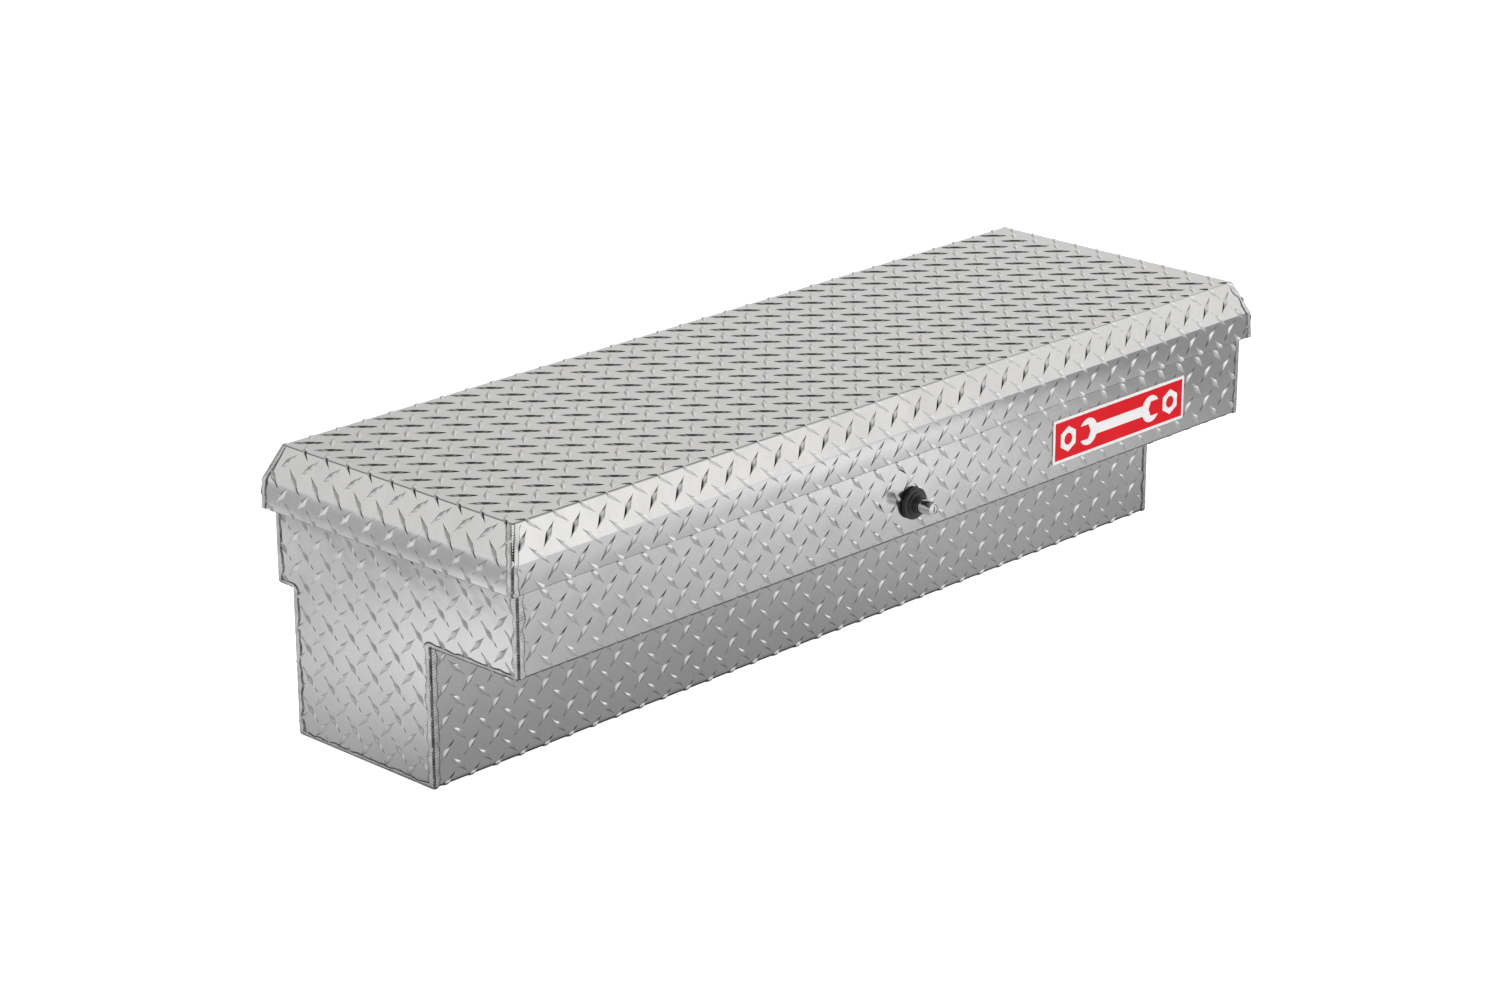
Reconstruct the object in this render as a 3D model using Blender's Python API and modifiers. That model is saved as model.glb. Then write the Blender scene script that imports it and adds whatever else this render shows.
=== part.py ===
"""Side-mount truck tool box of folded aluminium tread plate, with a hinged lid and a push lock.

Frame: X along the box, -Y is the front, +Z up, origin at the centre of the base's underside.
"""

import math

import bmesh
import bpy
from mathutils import Matrix, Vector

# ---------------------------------------------------------------- driving dimensions (metres)
SHEET = 0.0016  # tread plate, without its lugs
GAP = 0.0003  # clearance between touching pieces

LID_LENGTH = 1.219
LID_DEPTH = 0.393
SKIRT_Z = 0.2555  # lid skirt's lower edge above the base's underside
SKIRT_HEIGHT = 0.032
BAND_HEIGHT = 0.038  # sloped band between skirt and top
BAND_INSET_END = 0.0187
BAND_INSET_FRONT = 0.0177
BAND_INSET_BACK = 0.0154

BODY_INSET_END = 0.013  # body inside the lid's outline
BODY_INSET_FRONT = 0.0077
BODY_INSET_BACK = 0.0071
SHELF_DROP = 0.0952  # front overhang's underside below the skirt
LEDGE_DROP = 0.086  # back ledge's underside below the skirt
OVERHANG = 0.1352
LEDGE = 0.0243
RIM_RISE = 0.036  # rim flange's top above the skirt
RIM_FLANGE = 0.025
BEND_RADIUS = 0.003

HINGE_LENGTH = 1.1
HINGE_KNUCKLES = 22
KNUCKLE_RADIUS = 0.0035
PIN_RADIUS = 0.0015
BORE_RADIUS = 0.0018
LEAF = 0.0012
LEAF_DROP = 0.030
LEAF_RISE = 0.026
HINGE_RIVETS = 6

LOCK_DROP = 0.058  # lock axis below the skirt

BADGE_CENTRE_X = 0.366
BADGE_TOP_DROP = 0.0224
BADGE_LENGTH = 0.244
BADGE_HEIGHT = 0.0534
BADGE_THICKNESS = 0.0012

STRUT_X = 0.5475
STRUT_FOOT = (-0.057, -0.032)  # (y, z) from the hinge axis, on the body
STRUT_HEAD = (-0.221, 0.049)  # (y, z) from the hinge axis, on the lid

# ---------------------------------------------------------------- worked-out places
X_END = LID_LENGTH / 2 - BODY_INSET_END
UPPER_DEPTH = LID_DEPTH - BODY_INSET_FRONT - BODY_INSET_BACK
LOWER_DEPTH = UPPER_DEPTH - OVERHANG - LEDGE
Y_LOW_FRONT = -LOWER_DEPTH / 2
Y_LOW_BACK = LOWER_DEPTH / 2
Y_FRONT = Y_LOW_FRONT - OVERHANG
Y_BACK = Y_LOW_BACK + LEDGE
Y_LID_FRONT = Y_FRONT - BODY_INSET_FRONT
Y_LID_BACK = Y_BACK + BODY_INSET_BACK
RIM_Z = SKIRT_Z + RIM_RISE
SHELF_Z = SKIRT_Z - SHELF_DROP
LEDGE_Z = SKIRT_Z - LEDGE_DROP
BAND_Z = SKIRT_Z + SKIRT_HEIGHT
LID_TOP = BAND_Z + BAND_HEIGHT
LID_UNDER = LID_TOP - SHEET
HINGE_Y = Y_BACK + GAP + KNUCKLE_RADIUS
HINGE_Z = SKIRT_Z - 0.0042
LOCK_Z = SKIRT_Z - LOCK_DROP

COLLECTION = "truck_tool_box"
CUTTERS = "cutters"


# ---------------------------------------------------------------- helpers
def clear_scene():
    for thing in list(bpy.data.objects):
        bpy.data.objects.remove(thing, do_unlink=True)
    for name in (COLLECTION, CUTTERS):
        group = bpy.data.collections.new(name)
        bpy.context.scene.collection.children.link(group)


def material(name, colour, roughness, metallic):
    made = bpy.data.materials.get(name) or bpy.data.materials.new(name)
    made.use_nodes = True
    shader = made.node_tree.nodes["Principled BSDF"]
    shader.inputs["Base Color"].default_value = (*colour, 1)
    shader.inputs["Roughness"].default_value = roughness
    shader.inputs["Metallic"].default_value = metallic
    made.diffuse_color = (*colour, 1)
    return made


def add_object(name, data, finish=None):
    """Link an object: a part if it has a finish, else a hidden cutter."""
    thing = bpy.data.objects.new(name, data)
    bpy.data.collections[COLLECTION if finish else CUTTERS].objects.link(thing)
    if finish:
        data.materials.append(finish)
    else:
        thing.hide_render = True
        thing.display_type = "WIRE"
    return thing


def mesh_from(name, mesh_maker):
    """A mesh filled by a function that works on a bmesh."""
    data = bpy.data.meshes.new(name)
    work = bmesh.new()
    mesh_maker(work)
    work.to_mesh(data)
    work.free()
    return data


def add_box(work, low, high):
    low, high = Vector(low), Vector(high)
    place = Matrix.Translation((low + high) / 2) @ Matrix.Diagonal((*(high - low), 1))
    bmesh.ops.create_cube(work, size=1, matrix=place)


def add_rod(work, start, end, radius, sides=24):
    """A cylinder between two points."""
    start, end = Vector(start), Vector(end)
    turn = (end - start).to_track_quat("Z", "Y").to_matrix().to_4x4()
    bmesh.ops.create_cone(
        work,
        cap_ends=True,
        segments=sides,
        radius1=radius,
        radius2=radius,
        depth=(end - start).length,
        matrix=Matrix.Translation((start + end) / 2) @ turn,
    )


def boxes(name, corners, finish=None):
    def fill(work):
        for low, high in corners:
            add_box(work, low, high)

    return add_object(name, mesh_from(name, fill), finish)


def rods(name, runs, finish=None):
    def fill(work):
        for run in runs:
            add_rod(work, *run)

    return add_object(name, mesh_from(name, fill), finish)


def boolean(thing, other, operation):
    step = thing.modifiers.new(operation.lower(), "BOOLEAN")
    step.operation = operation
    step.solver = "EXACT"
    step.object = other


def cut(thing, other):
    boolean(thing, other, "DIFFERENCE")


def join(thing, other):
    boolean(thing, other, "UNION")


def fillet(points, radius, steps=3):
    """Round each inner corner of an open outline with a short arc."""
    points = [Vector(p) for p in points]
    rounded = [points[0]]
    for before, corner, after in zip(points, points[1:], points[2:]):
        to_before = (before - corner).normalized()
        to_after = (after - corner).normalized()
        half = to_before.angle(to_after) / 2
        reach = radius / math.tan(half)
        centre = corner + (to_before + to_after).normalized() * radius / math.sin(half)
        first = (corner + to_before * reach - centre).normalized()
        last = (corner + to_after * reach - centre).normalized()
        rounded += [centre + first.slerp(last, i / steps) * radius for i in range(steps + 1)]
    rounded.append(points[-1])
    return rounded


def folded_sheet(name, outline, x_low, x_high, thickness, finish, radius=BEND_RADIUS):
    """A sheet folded to an outline in (y, z) and run along X; the outline is its right-hand face."""
    path = fillet(outline, radius)
    run = path[1] - path[0]
    outward = Vector((0, run.y, -run.x))

    def fill(work):
        verts = [work.verts.new((x_low, p[0], p[1])) for p in path]
        edges = [work.edges.new(pair) for pair in zip(verts, verts[1:])]
        swept = bmesh.ops.extrude_edge_only(work, edges=edges)["geom"]
        moved = [v for v in swept if isinstance(v, bmesh.types.BMVert)]
        bmesh.ops.translate(work, verts=moved, vec=(x_high - x_low, 0, 0))
        work.normal_update()
        first = min(work.faces, key=lambda face: (face.calc_center_median().yz - path[0]).length)
        if first.normal.dot(outward) < 0:
            bmesh.ops.reverse_faces(work, faces=work.faces)

    sheet = add_object(name, mesh_from(name, fill), finish)
    shell = sheet.modifiers.new("thickness", "SOLIDIFY")
    shell.thickness = thickness
    shell.offset = -1
    shell.use_even_offset = True
    return sheet


def flat_plate(name, outlines, thickness, finish=None):
    """A flat outline with optional holes, in the XY plane, centred on its thickness, as a mesh."""
    drawing = bpy.data.curves.new(name, "CURVE")
    drawing.dimensions = "2D"
    drawing.fill_mode = "BOTH"
    drawing.extrude = thickness / 2
    for outline in outlines:
        spline = drawing.splines.new("POLY")
        spline.points.add(len(outline) - 1)
        for point, (u, v) in zip(spline.points, outline):
            point.co = (u, v, 0, 1)
        spline.use_cyclic_u = True
    return as_mesh(name, drawing, finish)


def as_mesh(name, drawing, finish=None):
    """Turn a curve into a mesh object with its caps welded."""
    guide = bpy.data.objects.new(name + "_curve", drawing)
    bpy.context.scene.collection.objects.link(guide)
    seen = guide.evaluated_get(bpy.context.evaluated_depsgraph_get())
    data = bpy.data.meshes.new_from_object(seen)
    bpy.data.objects.remove(guide, do_unlink=True)
    work = bmesh.new()
    work.from_mesh(data)
    bmesh.ops.remove_doubles(work, verts=work.verts, dist=1e-6)
    bmesh.ops.recalc_face_normals(work, faces=work.faces)
    work.to_mesh(data)
    work.free()
    data.name = name
    data.materials.clear()
    return add_object(name, data, finish)


def wire(name, points, radius, finish=None, smoothness=2):
    """A round wire along points, with filled ends, as a mesh."""
    drawing = bpy.data.curves.new(name, "CURVE")
    drawing.dimensions = "3D"
    drawing.bevel_depth = radius
    drawing.bevel_resolution = smoothness
    drawing.use_fill_caps = True
    spline = drawing.splines.new("POLY")
    spline.points.add(len(points) - 1)
    for point, place in zip(spline.points, points):
        point.co = (*place, 1)
    return as_mesh(name, drawing, finish)


def turned(name, profile, finish=None, steps=32, closed=False):
    """A profile of (radius, height) pairs turned about Z; it runs down the outer side."""

    def fill(work):
        verts = [work.verts.new((r, 0, z)) for r, z in profile]
        for pair in zip(verts, verts[1:]):
            work.edges.new(pair)
        if closed:
            work.edges.new((verts[-1], verts[0]))

    thing = add_object(name, mesh_from(name, fill), finish)
    screw = thing.modifiers.new("turn", "SCREW")
    screw.steps = steps
    screw.render_steps = steps
    screw.use_merge_vertices = True
    screw.merge_threshold = 1e-6
    return thing


def ring(name, inner, outer, low, high, finish=None, steps=32, chamfer=0.0):
    profile = [
        (inner, high),
        (outer - chamfer, high),
        (outer, high - chamfer),
        (outer, low),
        (inner, low),
    ]
    if not chamfer:
        del profile[2]
    return turned(name, profile, finish, steps, closed=True)


def face_front(thing, place):
    """Turn local +Z to the front (-Y) and put the piece in place."""
    thing.rotation_euler = (math.pi / 2, 0, 0)
    thing.location = place
    return thing


def in_end_plane(thing, x):
    """Turn a flat outline drawn as (y, z) into the plane of the box's end."""
    thing.rotation_euler = (math.pi / 2, 0, math.pi / 2)
    thing.location = (x, 0, 0)
    return thing


# ---------------------------------------------------------------- materials
clear_scene()
TREAD = material("tread_aluminium", (0.74, 0.74, 0.75), 0.32, 1.0)
PLAIN = material("plain_aluminium", (0.70, 0.70, 0.71), 0.38, 1.0)
ZINC = material("zinc_steel", (0.60, 0.60, 0.62), 0.35, 1.0)
STAINLESS = material("stainless_steel", (0.66, 0.66, 0.67), 0.28, 1.0)
CHROME = material("chrome", (0.85, 0.85, 0.86), 0.08, 1.0)
BLACK_METAL = material("black_coated_metal", (0.02, 0.02, 0.022), 0.35, 0.0)
RUBBER = material("rubber", (0.03, 0.03, 0.03), 0.75, 0.0)
BADGE = material("badge_red", (0.72, 0.02, 0.03), 0.3, 0.0)


# ---------------------------------------------------------------- body
def body_wrap():
    """One sheet from the front rim, down, under and up to the back rim."""
    outline = [
        (Y_FRONT + RIM_FLANGE, RIM_Z),
        (Y_FRONT, RIM_Z),
        (Y_FRONT, SHELF_Z),
        (Y_LOW_FRONT, SHELF_Z),
        (Y_LOW_FRONT, 0),
        (Y_LOW_BACK, 0),
        (Y_LOW_BACK, LEDGE_Z),
        (Y_BACK, LEDGE_Z),
        (Y_BACK, RIM_Z),
        (Y_BACK - RIM_FLANGE, RIM_Z),
    ]
    reach = X_END - SHEET - GAP
    wrap = folded_sheet("body_wrap", outline, -reach, reach, SHEET, TREAD)
    bore = ((0, Y_FRONT - 0.01, LOCK_Z), (0, Y_FRONT + 0.01, LOCK_Z), LOCK_BARREL + GAP, 32)
    cut(wrap, rods("lock_hole", [bore]))
    cut(wrap, rivet_holes("body_rivet_holes", Y_BACK, HINGE_Z - RIVET_DROP))


def end_panel(name, side):
    """T-shaped end with a rim flange turned inward between the wrap's rim flanges."""
    outline = [
        (Y_FRONT, RIM_Z),
        (Y_FRONT, SHELF_Z),
        (Y_LOW_FRONT, SHELF_Z),
        (Y_LOW_FRONT, 0),
        (Y_LOW_BACK, 0),
        (Y_LOW_BACK, LEDGE_Z),
        (Y_BACK, LEDGE_Z),
        (Y_BACK, RIM_Z),
    ]
    panel = flat_plate(name, [outline], SHEET, TREAD)
    in_end_plane(panel, side * (X_END - SHEET / 2))
    inner = X_END - RIM_FLANGE
    outer = X_END - SHEET / 2
    corners = sorted((side * inner, side * outer))
    flange = boxes(
        name + "_flange",
        [
            (
                (corners[0], Y_FRONT + RIM_FLANGE + GAP, RIM_Z - SHEET),
                (corners[1], Y_BACK - RIM_FLANGE - GAP, RIM_Z),
            )
        ],
    )
    join(panel, flange)


SEAL_INSET = 0.010
SEAL_WIDTH = 0.010
SEAL_HEIGHT = 0.0117


def weather_seal():
    """Soft strip round the rim that the lid's channels close on."""

    def loop(inset):
        x, front, back = X_END - inset, Y_FRONT + inset, Y_BACK - inset
        return [(-x, front), (x, front), (x, back), (-x, back)]

    loops = [loop(SEAL_INSET), loop(SEAL_INSET + SEAL_WIDTH)]
    seal = flat_plate("weather_seal", loops, SEAL_HEIGHT, RUBBER)
    seal.location.z = RIM_Z + GAP + SEAL_HEIGHT / 2


def badge_plate():
    top = SKIRT_Z - BADGE_TOP_DROP
    left = BADGE_CENTRE_X - BADGE_LENGTH / 2
    back = Y_FRONT - GAP
    badge = boxes(
        "badge_plate",
        [((left, back - BADGE_THICKNESS, top - BADGE_HEIGHT), (left + BADGE_LENGTH, back, top))],
        BADGE,
    )
    edge = badge.modifiers.new("edge", "BEVEL")
    edge.width = 0.0003
    edge.segments = 1


# ---------------------------------------------------------------- hinge
RIVET_DROP = 0.017
RIVET_RISE = 0.014
RIVET_SHANK = 0.002
RIVET_HEAD = 0.0042
RIVET_HEAD_RISE = 0.0014
RIVET_TAIL = 0.0032


def rivet_places():
    step = HINGE_LENGTH / HINGE_RIVETS
    return [(i - (HINGE_RIVETS - 1) / 2) * step for i in range(HINGE_RIVETS)]


def rivet_holes(name, y, z):
    radius = RIVET_SHANK + GAP
    return rods(name, [((x, y - 0.01, z), (x, y + 0.01, z), radius, 16) for x in rivet_places()])


def rivet(name, place, face_out, grip):
    """A rivet whose head stands on a face that looks along face_out, through a stack of sheets."""
    profile = [
        (0, RIVET_HEAD_RISE + GAP),
        (RIVET_HEAD * 0.7, RIVET_HEAD_RISE * 0.7 + GAP),
        (RIVET_HEAD, GAP),
        (RIVET_SHANK, GAP),
        (RIVET_SHANK, -grip - GAP),
        (RIVET_TAIL, -grip - GAP),
        (RIVET_TAIL * 0.8, -grip - 0.0014),
        (0, -grip - 0.0016),
    ]
    piece = turned(name, profile, ZINC, steps=12)
    piece.rotation_euler = Vector(face_out).to_track_quat("Z", "Y").to_euler()
    piece.location = place


def knuckle_spans(parity):
    """X ranges of every other knuckle."""
    pitch = HINGE_LENGTH / HINGE_KNUCKLES
    starts = [-HINGE_LENGTH / 2 + i * pitch for i in range(parity, HINGE_KNUCKLES, 2)]
    return [(start + GAP / 2, start + pitch - GAP / 2) for start in starts]


def hinge_leaf(name, parity, y_low, z_far, z_near, tab_end):
    """A leaf plate with rolled knuckles on every other place, bored for the pin."""
    half = HINGE_LENGTH / 2
    z_low, z_high = sorted((z_far, z_near))
    leaf = boxes(name, [((-half, y_low, z_low), (half, y_low + LEAF, z_high))], STAINLESS)
    tab_low, tab_high = sorted((tab_end, (z_far + z_near) / 2))
    inset = 0.00005
    spans = knuckle_spans(parity)
    tabs = [((a, y_low + inset, tab_low), (b, y_low + LEAF - inset, tab_high)) for a, b in spans]
    join(leaf, boxes(name + "_tabs", tabs))
    axis = [((a, HINGE_Y, HINGE_Z), (b, HINGE_Y, HINGE_Z), KNUCKLE_RADIUS, 16) for a, b in spans]
    join(leaf, rods(name + "_knuckles", axis))
    bore = ((-half - 0.01, HINGE_Y, HINGE_Z), (half + 0.01, HINGE_Y, HINGE_Z), BORE_RADIUS, 16)
    cut(leaf, rods(name + "_bore", [bore]))
    return leaf


def hinge():
    clear = KNUCKLE_RADIUS + 0.001
    body_leaf_y = Y_BACK + GAP
    body_leaf = hinge_leaf(
        "body_hinge_leaf", 0, body_leaf_y, HINGE_Z - LEAF_DROP, HINGE_Z - clear, HINGE_Z - 0.0012
    )
    cut(body_leaf, bpy.data.objects["body_rivet_holes"])
    lid_leaf_y = Y_LID_BACK - SHEET - GAP - LEAF
    lid_leaf = hinge_leaf(
        "lid_hinge_leaf", 1, lid_leaf_y, HINGE_Z + LEAF_RISE, HINGE_Z + clear, HINGE_Z + 0.0024
    )
    cut(lid_leaf, bpy.data.objects["lid_rivet_holes"])
    pin_end = HINGE_LENGTH / 2 + 0.001
    pin = ((-pin_end, HINGE_Y, HINGE_Z), (pin_end, HINGE_Y, HINGE_Z), PIN_RADIUS, 12)
    rods("hinge_pin", [pin], STAINLESS)
    for i, x in enumerate(rivet_places(), 1):
        body_place = (x, Y_BACK + GAP + LEAF, HINGE_Z - RIVET_DROP)
        lid_place = (x, Y_LID_BACK, HINGE_Z + RIVET_RISE)
        rivet(f"body_hinge_rivet_{i}", body_place, (0, 1, 0), SHEET + GAP + LEAF)
        rivet(f"lid_hinge_rivet_{i}", lid_place, (0, 1, 0), SHEET + GAP + LEAF)


# ---------------------------------------------------------------- lid
CHANNEL_TOP = LID_UNDER - GAP
CHANNEL_FOOT = RIM_Z + GAP + SEAL_HEIGHT + GAP
CHANNEL_SHEET = 0.0012
CHANNEL_LIP = 0.010
END_LIP = 0.006
FRONT_CHANNEL = (Y_LID_FRONT + 0.0202, Y_LID_FRONT + 0.0462)  # outer and inner wall
BACK_CHANNEL = (Y_LID_BACK - 0.0443, Y_LID_BACK - 0.0183)
END_CHANNEL = (LID_LENGTH / 2 - 0.042, LID_LENGTH / 2 - 0.022)


def lid_skin():
    """Top, sloped band and skirt folded from one sheet."""

    def fill(work):
        low = (-LID_LENGTH / 2, Y_LID_FRONT, SKIRT_Z)
        high = (LID_LENGTH / 2, Y_LID_BACK, BAND_Z)
        add_box(work, low, high)
        top = max(work.faces, key=lambda face: face.calc_center_median().z)
        grown = bmesh.ops.extrude_face_region(work, geom=[top])["geom"]
        bmesh.ops.delete(work, geom=[top], context="FACES_ONLY")
        for vert in (v for v in grown if isinstance(v, bmesh.types.BMVert)):
            vert.co.z = LID_TOP
            vert.co.x -= math.copysign(BAND_INSET_END, vert.co.x)
            vert.co.y += BAND_INSET_FRONT if vert.co.y < 0 else -BAND_INSET_BACK
        floor = min(work.faces, key=lambda face: face.calc_center_median().z)
        bmesh.ops.delete(work, geom=[floor], context="FACES_ONLY")

    lid = add_object("lid_skin", mesh_from("lid_skin", fill), TREAD)
    shell = lid.modifiers.new("thickness", "SOLIDIFY")
    shell.thickness = SHEET
    shell.offset = -1
    shell.use_even_offset = True
    shell.use_quality_normals = True
    cut(lid, rivet_holes("lid_rivet_holes", Y_LID_BACK, HINGE_Z + RIVET_RISE))


def lid_channels():
    """Channels under the lid's top; their feet close on the seal."""
    reach = LID_LENGTH / 2 - 0.022

    def channel(name, outer, inner, low, high, lip=CHANNEL_LIP):
        lip_z = CHANNEL_TOP - CHANNEL_SHEET
        outline = [
            (outer, CHANNEL_TOP),
            (outer, CHANNEL_FOOT),
            (inner, CHANNEL_FOOT),
            (inner, lip_z),
            (inner + math.copysign(lip, inner - outer), lip_z),
        ]
        if outer > inner:
            outline.reverse()
        return folded_sheet(name, outline, low, high, CHANNEL_SHEET, PLAIN, radius=0.002)

    front = channel("lid_channel_front", FRONT_CHANNEL[0], FRONT_CHANNEL[1], -reach, reach)
    channel("lid_channel_back", BACK_CHANNEL[1], BACK_CHANNEL[0], -reach, reach)
    cut(front, striker_rivet_holes())
    y_low = FRONT_CHANNEL[1] + CHANNEL_LIP + GAP
    y_high = BACK_CHANNEL[0] - CHANNEL_LIP - GAP
    for name, side in (("lid_channel_left", -1), ("lid_channel_right", 1)):
        far, near = -END_CHANNEL[1] * side, -END_CHANNEL[0] * side
        piece = channel(name, far, near, y_low, y_high, END_LIP)
        piece.rotation_euler.z = math.pi / 2


# ---------------------------------------------------------------- lock and latch
LOCK_BARREL = 0.011
PLUNGER_RADIUS = 0.008
PLUNGER_OUT = 0.033
FLANGE_RADIUS = 0.0185
RING_RADIUS = 0.014
COLLAR_RADIUS = 0.0105
GASKET = 0.001
BARREL_REACH = 0.0215  # barrel's inner end behind the wall's outer face
BRACKET = 0.002
NUT_THICKNESS = 0.005
KEY_PLUG_RADIUS = 0.0055
KEY_PLUG_DEPTH = 0.018
ROD_RADIUS = 0.004
PIVOT_RISE = 0.0315  # hook pivot above the lock axis
PIVOT_Y = Y_FRONT + 0.0455
PIVOT_RADIUS = 0.003
HOOK_SHEET = 0.004
HOOK_FACE = 0.004  # hook's front edge ahead of the pivot axis
LOOP_RADIUS = 0.0025
LOOP_HALF = 0.013
LOOP_Y = Y_FRONT + 0.0335
LOOP_Z = SKIRT_Z + 0.003


def lock():
    place = (0, Y_FRONT, LOCK_Z)
    bore = PLUNGER_RADIUS + GAP
    housing = [
        (bore, 0.0155),
        (COLLAR_RADIUS - 0.0008, 0.0155),
        (COLLAR_RADIUS, 0.0147),
        (COLLAR_RADIUS, 0.009),
        (RING_RADIUS - 0.001, 0.009),
        (RING_RADIUS, 0.008),
        (RING_RADIUS, 0.0065),
        (FLANGE_RADIUS - 0.0015, 0.0065),
        (FLANGE_RADIUS, 0.005),
        (FLANGE_RADIUS, GASKET + 2 * GAP),
        (LOCK_BARREL, GASKET + 2 * GAP),
        (LOCK_BARREL, -BARREL_REACH),
        (bore, -BARREL_REACH),
    ]
    face_front(turned("lock_housing", housing, BLACK_METAL, closed=True), place)
    outer = FLANGE_RADIUS - 0.0006
    gasket = ring("lock_gasket", LOCK_BARREL + GAP, outer, GAP, GASKET + GAP, RUBBER)
    face_front(gasket, place)
    nut_top = -SHEET - GAP - BRACKET - GAP
    nut = rods("lock_nut", [((0, 0, nut_top - NUT_THICKNESS), (0, 0, nut_top), 0.0155, 6)], ZINC)
    face_front(nut, place)
    thread = rods("lock_nut_bore", [((0, 0, -0.05), (0, 0, 0.05), LOCK_BARREL + GAP, 32)])
    face_front(thread, place)
    cut(nut, thread)

    shoulder = -0.010
    tip = -(PIVOT_Y - HOOK_FACE - Y_FRONT) + GAP
    dome = [
        (ROD_RADIUS * math.cos(a), tip + ROD_RADIUS * (1 - math.sin(a)))
        for a in (0, math.pi / 8, math.pi / 4, 3 * math.pi / 8)
    ]
    plug_bore = KEY_PLUG_RADIUS + GAP
    plunger = [
        (0, PLUNGER_OUT - KEY_PLUG_DEPTH - GAP),
        (plug_bore, PLUNGER_OUT - KEY_PLUG_DEPTH - GAP),
        (plug_bore, PLUNGER_OUT),
        (PLUNGER_RADIUS - 0.0008, PLUNGER_OUT),
        (PLUNGER_RADIUS, PLUNGER_OUT - 0.0008),
        (PLUNGER_RADIUS, shoulder),
        (ROD_RADIUS, shoulder - 0.003),
        *dome,
        (0, tip),
    ]
    face_front(turned("lock_plunger", plunger, CHROME), place)
    plug_face = PLUNGER_OUT - 0.0004
    plug = turned(
        "key_plug",
        [
            (0, plug_face),
            (KEY_PLUG_RADIUS, plug_face),
            (KEY_PLUG_RADIUS, plug_face - KEY_PLUG_DEPTH + 0.0004),
            (0, plug_face - KEY_PLUG_DEPTH + 0.0004),
        ],
        STAINLESS,
    )
    face_front(plug, place)
    opening = ((-0.0009, -0.0036, plug_face - 0.008), (0.0009, 0.0036, plug_face + 0.005))
    slot = boxes("key_slot", [opening])
    face_front(slot, place)
    cut(plug, slot)


def latch_bracket():
    """Plate clamped behind the wall by the lock nut, with two cheeks that carry the hook."""
    plate_y = Y_FRONT + SHEET + GAP
    plate_half = 0.016
    pivot_z = LOCK_Z + PIVOT_RISE
    low_z, high_z = LOCK_Z - 0.019, pivot_z + 0.014
    plate = ((-plate_half, plate_y, low_z), (plate_half, plate_y + BRACKET, high_z))
    bracket = boxes("latch_bracket", [plate], PLAIN)
    cheeks = []
    for side in (-1, 1):
        x_low, x_high = sorted((side * (plate_half - 0.002), side * (plate_half - 0.00002)))
        top = high_z - 0.00002
        cheek = ((x_low, plate_y + 0.001, pivot_z - 0.010), (x_high, PIVOT_Y + 0.009, top))
        cheeks.append(cheek)
    join(bracket, boxes("bracket_cheeks", cheeks))
    hole = ((0, plate_y - 0.01, LOCK_Z), (0, plate_y + 0.01, LOCK_Z), LOCK_BARREL + GAP, 32)
    cut(bracket, rods("bracket_lock_hole", [hole]))
    cross = ((-0.03, PIVOT_Y, pivot_z), (0.03, PIVOT_Y, pivot_z), PIVOT_RADIUS + GAP, 24)
    cut(bracket, rods("bracket_pin_hole", [cross]))
    shank = ((-0.018, PIVOT_Y, pivot_z), (0.018, PIVOT_Y, pivot_z), PIVOT_RADIUS, 24)
    pin = rods("hook_pivot_pin", [shank], ZINC)
    heads = [
        ((-0.0195, PIVOT_Y, pivot_z), (-plate_half - GAP, PIVOT_Y, pivot_z), 0.0045, 24),
        ((plate_half + GAP, PIVOT_Y, pivot_z), (0.0195, PIVOT_Y, pivot_z), 0.0045, 24),
    ]
    join(pin, rods("hook_pin_heads", heads))


def latch_hook():
    """Flat lever: nose over the striker loop, tail behind the plunger's rod."""
    outline = [
        (-0.0045, 0.0378),
        (0.0038, 0.0337),
        (0.0021, 0.0274),
        (-HOOK_FACE, 0.006),
        (-HOOK_FACE, -0.0385),
        (0.002, -0.0385),
        (0.0075, -0.005),
        (0.0080, 0.010),
        (0.0120, 0.034),
        (0.0090, 0.0405),
        (-0.0010, 0.0425),
    ]
    pivot_z = LOCK_Z + PIVOT_RISE
    hook = flat_plate("latch_hook", [outline], HOOK_SHEET, ZINC)
    in_end_plane(hook, 0)
    hook.location = (0, PIVOT_Y, pivot_z)
    cross = ((-0.03, PIVOT_Y, pivot_z), (0.03, PIVOT_Y, pivot_z), PIVOT_RADIUS + GAP, 24)
    cut(hook, rods("hook_pin_hole", [cross]))


def latch_spring():
    """Torsion spring wound round the pivot pin beside the hook."""
    pivot_z = LOCK_Z + PIVOT_RISE
    wire_radius, coil_radius, turns, pitch = 0.0006, 0.0048, 4, 0.0016
    start_x, steps = 0.0042, 14
    points = [Vector((start_x, PIVOT_Y + coil_radius, pivot_z - 0.013))]
    for i in range(turns * steps + 1):
        turn = 2 * math.pi * i / steps
        offset = Vector((0, coil_radius * math.cos(turn), coil_radius * math.sin(turn)))
        points.append(Vector((start_x + pitch * i / steps, PIVOT_Y, pivot_z)) + offset)
    points.append(points[-1] + Vector((0, 0, 0.012)))
    wire("latch_spring", points, wire_radius, STAINLESS, smoothness=1)


STRIKER_PLATE = 0.002
STRIKER_HALF = 0.028
STRIKER_RIVET_X = 0.022
STRIKER_Y = (Y_FRONT + 0.0262, Y_FRONT + 0.0395)


def striker_rivet_holes():
    y = sum(STRIKER_Y) / 2
    low, high = CHANNEL_FOOT - 0.01, CHANNEL_FOOT + 0.01
    runs = []
    for x in (-STRIKER_RIVET_X, STRIKER_RIVET_X):
        runs.append(((x, y, low), (x, y, high), RIVET_SHANK + GAP, 16))
    return rods("striker_rivet_holes", runs)


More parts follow.
